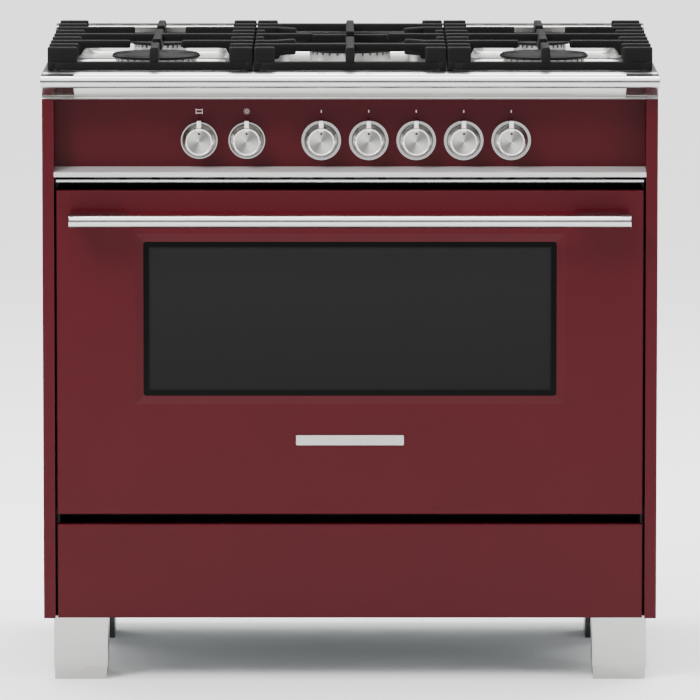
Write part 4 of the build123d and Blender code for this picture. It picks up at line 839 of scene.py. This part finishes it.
class RANGE_OT_cooktop(bpy.types.Operator):
    """Pressed stainless cooktop with five wells, and the lip along its front"""

    bl_idname = "range_parts.cooktop"
    bl_label = "Cooktop"

    def execute(self, context):
        sheet = make_piece("pressed_cooktop", [deck_sheet()], finish(context, "stainless"),
                           "cabinet", 35, closed=False)
        shape = bmesh.new()
        shape.from_mesh(sheet.data)
        bmesh.ops.remove_doubles(shape, verts=shape.verts, dist=0.02 * MM)
        bmesh.ops.dissolve_degenerate(shape, edges=shape.edges, dist=0.01 * MM)
        shape.to_mesh(sheet.data)
        shape.free()
        wall = sheet.modifiers.new("sheet", "SOLIDIFY")
        wall.thickness, wall.offset = SHEET * MM, -1.0
        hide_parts("cooktop_deck")
        x0, x1 = DECK_LOW.x / MM, DECK_HIGH.x / MM
        y0, z0 = DECK_LOW.y / MM, DECK_LOW.z / MM
        line = [(x, y0 + 3, z0 + 0.05, z0 + LIP_HEIGHT) for x in np.linspace(x0, x1, 40)]
        lip = cast_bar(line, 6.0, context.scene.range_sizes)
        make_piece("cooktop_lip", [lip], finish(context, "stainless"), "cabinet")
        return {"FINISHED"}


class RANGE_OT_seal(bpy.types.Operator):
    """Braided seal round the oven opening"""

    bl_idname = "range_parts.seal"
    bl_label = "Door seal"

    def execute(self, context):
        low, high = np.array(GASKET_LOW) / MM, np.array(GASKET_HIGH) / MM
        piece = make_piece("braided_seal", [seal_loop(low, high)], finish(context, "gasket"),
                           "cabinet")
        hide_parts("door_gasket")
        return {"FINISHED"}


def seal_loop(low, high, width=12.0, corner=14.0, count=12):
    """A loop with round corners that carries a superellipse 12 mm wide and as deep as the gap
    between the door and the frame."""
    half_x, half_z = (high[0] - low[0] - width) / 2, (high[2] - low[2] - width) / 2
    centre = (low + high) / 2
    runs = []
    for turn, (sx, sz) in enumerate(((1, 1), (-1, 1), (-1, -1), (1, -1))):
        angle = np.pi / 2 * (turn + np.linspace(0, 1, 10))
        runs.append(np.stack([sx * (half_x - corner) + corner * np.cos(angle),
                              sz * (half_z - corner) + corner * np.sin(angle),
                              np.cos(angle), np.sin(angle)], -1))
        next_x, next_z = ((-1, 1), (-1, -1), (1, -1), (1, 1))[turn]
        end = np.array([next_x * (half_x - corner) + corner * np.cos(angle[-1]),
                        next_z * (half_z - corner) + corner * np.sin(angle[-1])])
        steps = np.linspace(0, 1, 40)[1:-1, None]
        straight = runs[-1][-1, :2] + steps * (end - runs[-1][-1, :2])
        normal = np.broadcast_to(runs[-1][-1, 2:], straight.shape)
        runs.append(np.hstack([straight, normal]))
    loop = np.vstack(runs)
    u, v = superellipse(count, 2.6)
    across, deep = width / 2 * u, (high[1] - low[1]) / 2 * v
    grid = np.empty((len(loop), count, 3))
    grid[:, :, 0] = centre[0] + loop[:, :1] + loop[:, 2:3] * across
    grid[:, :, 1] = centre[1] + deep
    grid[:, :, 2] = centre[2] + loop[:, 1:2] + loop[:, 3:4] * across
    return grid_part(grid * MM, close_u=True, close_v=True)


class RANGE_OT_screws(bpy.types.Operator):
    """Sheet metal screws along the edges of the back panel"""

    bl_idname = "range_parts.screws"
    bl_label = "Screws"

    def execute(self, context):
        radius = context.scene.range_sizes.screw_radius / MM
        head = [(radius + 2.2, 0), (radius + 2.2, 0.7), (radius, 0.8), (radius, 3.4),
                (radius - 0.7, 4.0), (radius * 0.5, 3.6)]
        ends = (BACK_LOW.z / MM + SCREW_INSET, BACK_HIGH.z / MM - SCREW_INSET)
        places = [(x, z) for x in SCREW_X for z in ends]
        places += [(x, SCREW_Z) for x in (SCREW_X[0], SCREW_X[-1])]
        heads = [revolved(head, (x * MM, BACK_HIGH.y, z * MM), (0, 1, 0), 6) for x, z in places]
        make_piece("back_screws", heads, finish(context, "galvanised"), "cabinet",
                   25)
        return {"FINISHED"}


def ring_mark(middle, radius, line, centre, right, up):
    """A printed ring: a circle outline carried out and back, as two half rings."""
    marks = []
    for start in (0, np.pi):
        angle = start + np.linspace(0, np.pi, 13)
        arc = np.stack([np.cos(angle), np.sin(angle)], -1)
        outline = np.vstack([arc * radius, arc[::-1] * (radius - line)]) + np.array(middle)
        marks.append(flat_mark(outline, centre, right, up))
    return marks


def disc_mark(middle, radius, centre, right, up):
    """A printed dot: a circle of 12 corners."""
    angle = np.linspace(0, 2 * np.pi, 12, endpoint=False)
    outline = radius * np.stack([np.cos(angle), np.sin(angle)], -1) + np.array(middle)
    return flat_mark(outline, centre, right, up)


def bar_mark(middle, wide, tall, centre, right, up):
    """A printed bar."""
    x, y = wide / 2, tall / 2
    outline = np.array([(x, -y), (x, y), (-x, y), (-x, -y)]) + np.array(middle)
    return flat_mark(outline, centre, right, up)


class RANGE_OT_markings(bpy.types.Operator):
    """Printed ticks and plain pictograms over the knobs and on the cooktop's front edge"""

    bl_idname = "range_parts.markings"
    bl_label = "Markings"

    def execute(self, context):
        tall = context.scene.range_sizes.mark_height / MM
        right, up = (1, 0, 0), (0, 0, 1)
        ink = plain_finish("pale printed ink", linear("D8CFCF"), 0.4, size=4)
        dark = plain_finish("dark printed ink", linear("6A6A6C"), 0.4, size=4)
        marks, icons = [], []
        slope = np.array([0, BEVEL_DEPTH, BEVEL_DROP]) / math.hypot(BEVEL_DEPTH, BEVEL_DROP)
        edge = ((DECK_LOW.y + (FASCIA_SETBACK + BEVEL_DEPTH / 2) * MM),
                DECK_HIGH.z - BEVEL_DROP / 2 * MM)
        spots = [(-1, -1), (1, -1), (0, 0), (-1, 1), (1, 1)]
        for i in range(5):
            x, z = knob_middle(f"burner_knob_{i + 1}")
            marks.append(bar_mark((0, 0), 1.3, tall, (x, PANEL_LOW.y, z + MARK_RISE * MM),
                                  right, up))
            place = (x, edge[0], edge[1])
            for j, spot in enumerate(spots):
                middle = (spot[0] * 3.2, spot[1] * 2.4)
                if j == (0, 3, 2, 4, 1)[i]:
                    icons.append(disc_mark(middle, ICON_RADIUS, place, right, slope))
                else:
                    icons += ring_mark(middle, ICON_RADIUS, 0.4, place, right, slope)
        x, z = knob_middle("oven_knob")
        centre = (x, PANEL_LOW.y, z + MARK_RISE * MM)
        for height in (-2.4, 2.4):
            marks.append(bar_mark((0, height), 8, 1.0, centre, right, up))
        for wide in (-4.6, 4.6):
            marks.append(bar_mark((wide, 0), 0.8, 8, centre, right, up))
        x, z = knob_middle("light_fan_knob")
        centre = (x, PANEL_LOW.y, z + MARK_RISE * MM)
        marks += ring_mark((0, 0), 2.4, 0.8, centre, right, up)
        for angle in np.radians(np.arange(0, 360, 45)):
            middle = 4.2 * np.array([math.cos(angle), math.sin(angle)])
            marks.append(disc_mark(middle, 0.55, centre, right, up))
        make_piece("panel_markings", marks, ink, "cabinet")
        make_piece("cooktop_markings", icons, dark, "cabinet")
        return {"FINISHED"}


class RANGE_OT_stage(bpy.types.Operator):
    """Pale floor, soft studio lights and the camera"""

    bl_idname = "range_parts.stage"
    bl_label = "Studio"

    def execute(self, context):
        floor_mesh = bpy.data.meshes.new("studio_floor")
        span = 40.0
        floor_mesh.from_pydata([(-span, -span, 0), (span, -span, 0), (span, span, 0),
                                (-span, span, 0)], [], [(0, 1, 2, 3)])
        floor = bpy.data.objects.new("studio_floor", floor_mesh)
        context.scene.collection.objects.link(floor)
        paper, tree, shader, place = begin("matte white backdrop paper", linear("FAFAFA"),
                                           roughness=0.9)
        shader.inputs["Specular IOR Level"].default_value = 0.1
        wire(tree, shader, base_color=blend(tree, noise(tree, place, 400), linear("F8F8F8"),
                                            linear("FCFCFC")))
        floor_mesh.materials.append(paper)

        world = context.scene.world or bpy.data.worlds.new("studio")
        context.scene.world = world
        world.use_nodes = True
        tree = world.node_tree
        tree.nodes["Background"].inputs["Strength"].default_value = 1.0
        direction = add(tree, "ShaderNodeTexCoord").outputs["Generated"]
        rise = add(tree, "ShaderNodeSeparateXYZ", {"Vector": direction}).outputs["Z"]
        sky = blend(tree, remap(tree, rise, 0, 1, 0.0, 0.8), linear("6E6E6E"), linear("C8C8C8"))
        tree.links.new(sky, tree.nodes["Background"].inputs["Color"])

        aim = Vector((0, 0, 0.6))
        lamps = (
            ("key", (-2.6, -3.2, 3.4), (1.4, 1.6), 190),
            ("fill", (3.0, -2.6, 1.8), (0.8, 2.4), 40),
            ("overhead", (0, 0.8, 3.4), (2.6, 1.4), 120),
            ("rear_left", (-3.0, 2.6, 2.4), (1.2, 2.0), 90),
            ("rear_right", (3.0, 2.6, 2.4), (1.2, 2.0), 90),
        )
        for name, position, size, power in lamps:
            light = bpy.data.lights.new(name, "AREA")
            light.shape, light.energy = "RECTANGLE", power
            light.size, light.size_y = size
            lamp = bpy.data.objects.new(name, light)
            lamp.location = position
            lamp.rotation_euler = (aim - Vector(position)).to_track_quat("-Z", "Y").to_euler()
            context.scene.collection.objects.link(lamp)
        for name, direction, power in (("front_sun", (0.3, 0.7, -1.4), 3.1),
                                       ("rear_sun", (-0.3, -0.6, -1.5), 2.9)):
            sun = bpy.data.lights.new(name, "SUN")
            sun.energy, sun.angle = power, math.radians(60)
            lamp = bpy.data.objects.new(name, sun)
            lamp.rotation_euler = Vector(direction).to_track_quat("-Z", "Y").to_euler()
            context.scene.collection.objects.link(lamp)

        view = bpy.data.cameras.new("camera")
        view.lens, view.sensor_width = context.scene.range_sizes.camera_lens, 36.0
        view.clip_end = 200.0
        camera = bpy.data.objects.new("camera", view)
        camera.location = (0.0, DECK_LOW.y - CAMERA_AWAY, CAMERA_HEIGHT)
        target = Vector((0.0, DECK_LOW.y, AIM_HEIGHT))
        camera.rotation_euler = (target - camera.location).to_track_quat("-Z", "Y").to_euler()
        context.scene.collection.objects.link(camera)
        context.scene.camera = camera
        return {"FINISHED"}


class RANGE_PT_panel(bpy.types.Panel):
    """Lists the sizes, colours and steps of the range"""

    bl_label = "Gas range"
    bl_idname = "RANGE_PT_panel"
    bl_space_type = "VIEW_3D"
    bl_region_type = "UI"
    bl_category = "Range"

    def draw(self, context):
        for group in (context.scene.range_sizes, context.scene.range_colours):
            for name in group.bl_rna.properties.keys():
                if name not in ("rna_type", "name"):
                    self.layout.prop(group, name)
        for step in STEPS:
            self.layout.operator(step.bl_idname)


STEPS = (
    RANGE_OT_finishes, RANGE_OT_knobs, RANGE_OT_grates, RANGE_OT_cooktop, RANGE_OT_seal,
    RANGE_OT_screws, RANGE_OT_markings, RANGE_OT_stage,
)
CLASSES = (RangeSizes, RangeColours, *STEPS, RANGE_PT_panel)


def register():
    for made in CLASSES:
        bpy.utils.register_class(made)
    bpy.types.Scene.range_sizes = bpy.props.PointerProperty(type=RangeSizes)
    bpy.types.Scene.range_colours = bpy.props.PointerProperty(type=RangeColours)


def unregister():
    del bpy.types.Scene.range_sizes, bpy.types.Scene.range_colours
    for made in reversed(CLASSES):
        bpy.utils.unregister_class(made)


def main():
    """Make everything in order."""
    register()
    for step in STEPS:
        group, name = step.bl_idname.split(".")
        getattr(getattr(bpy.ops, group), name)()


if __name__ == "__main__":
    main()
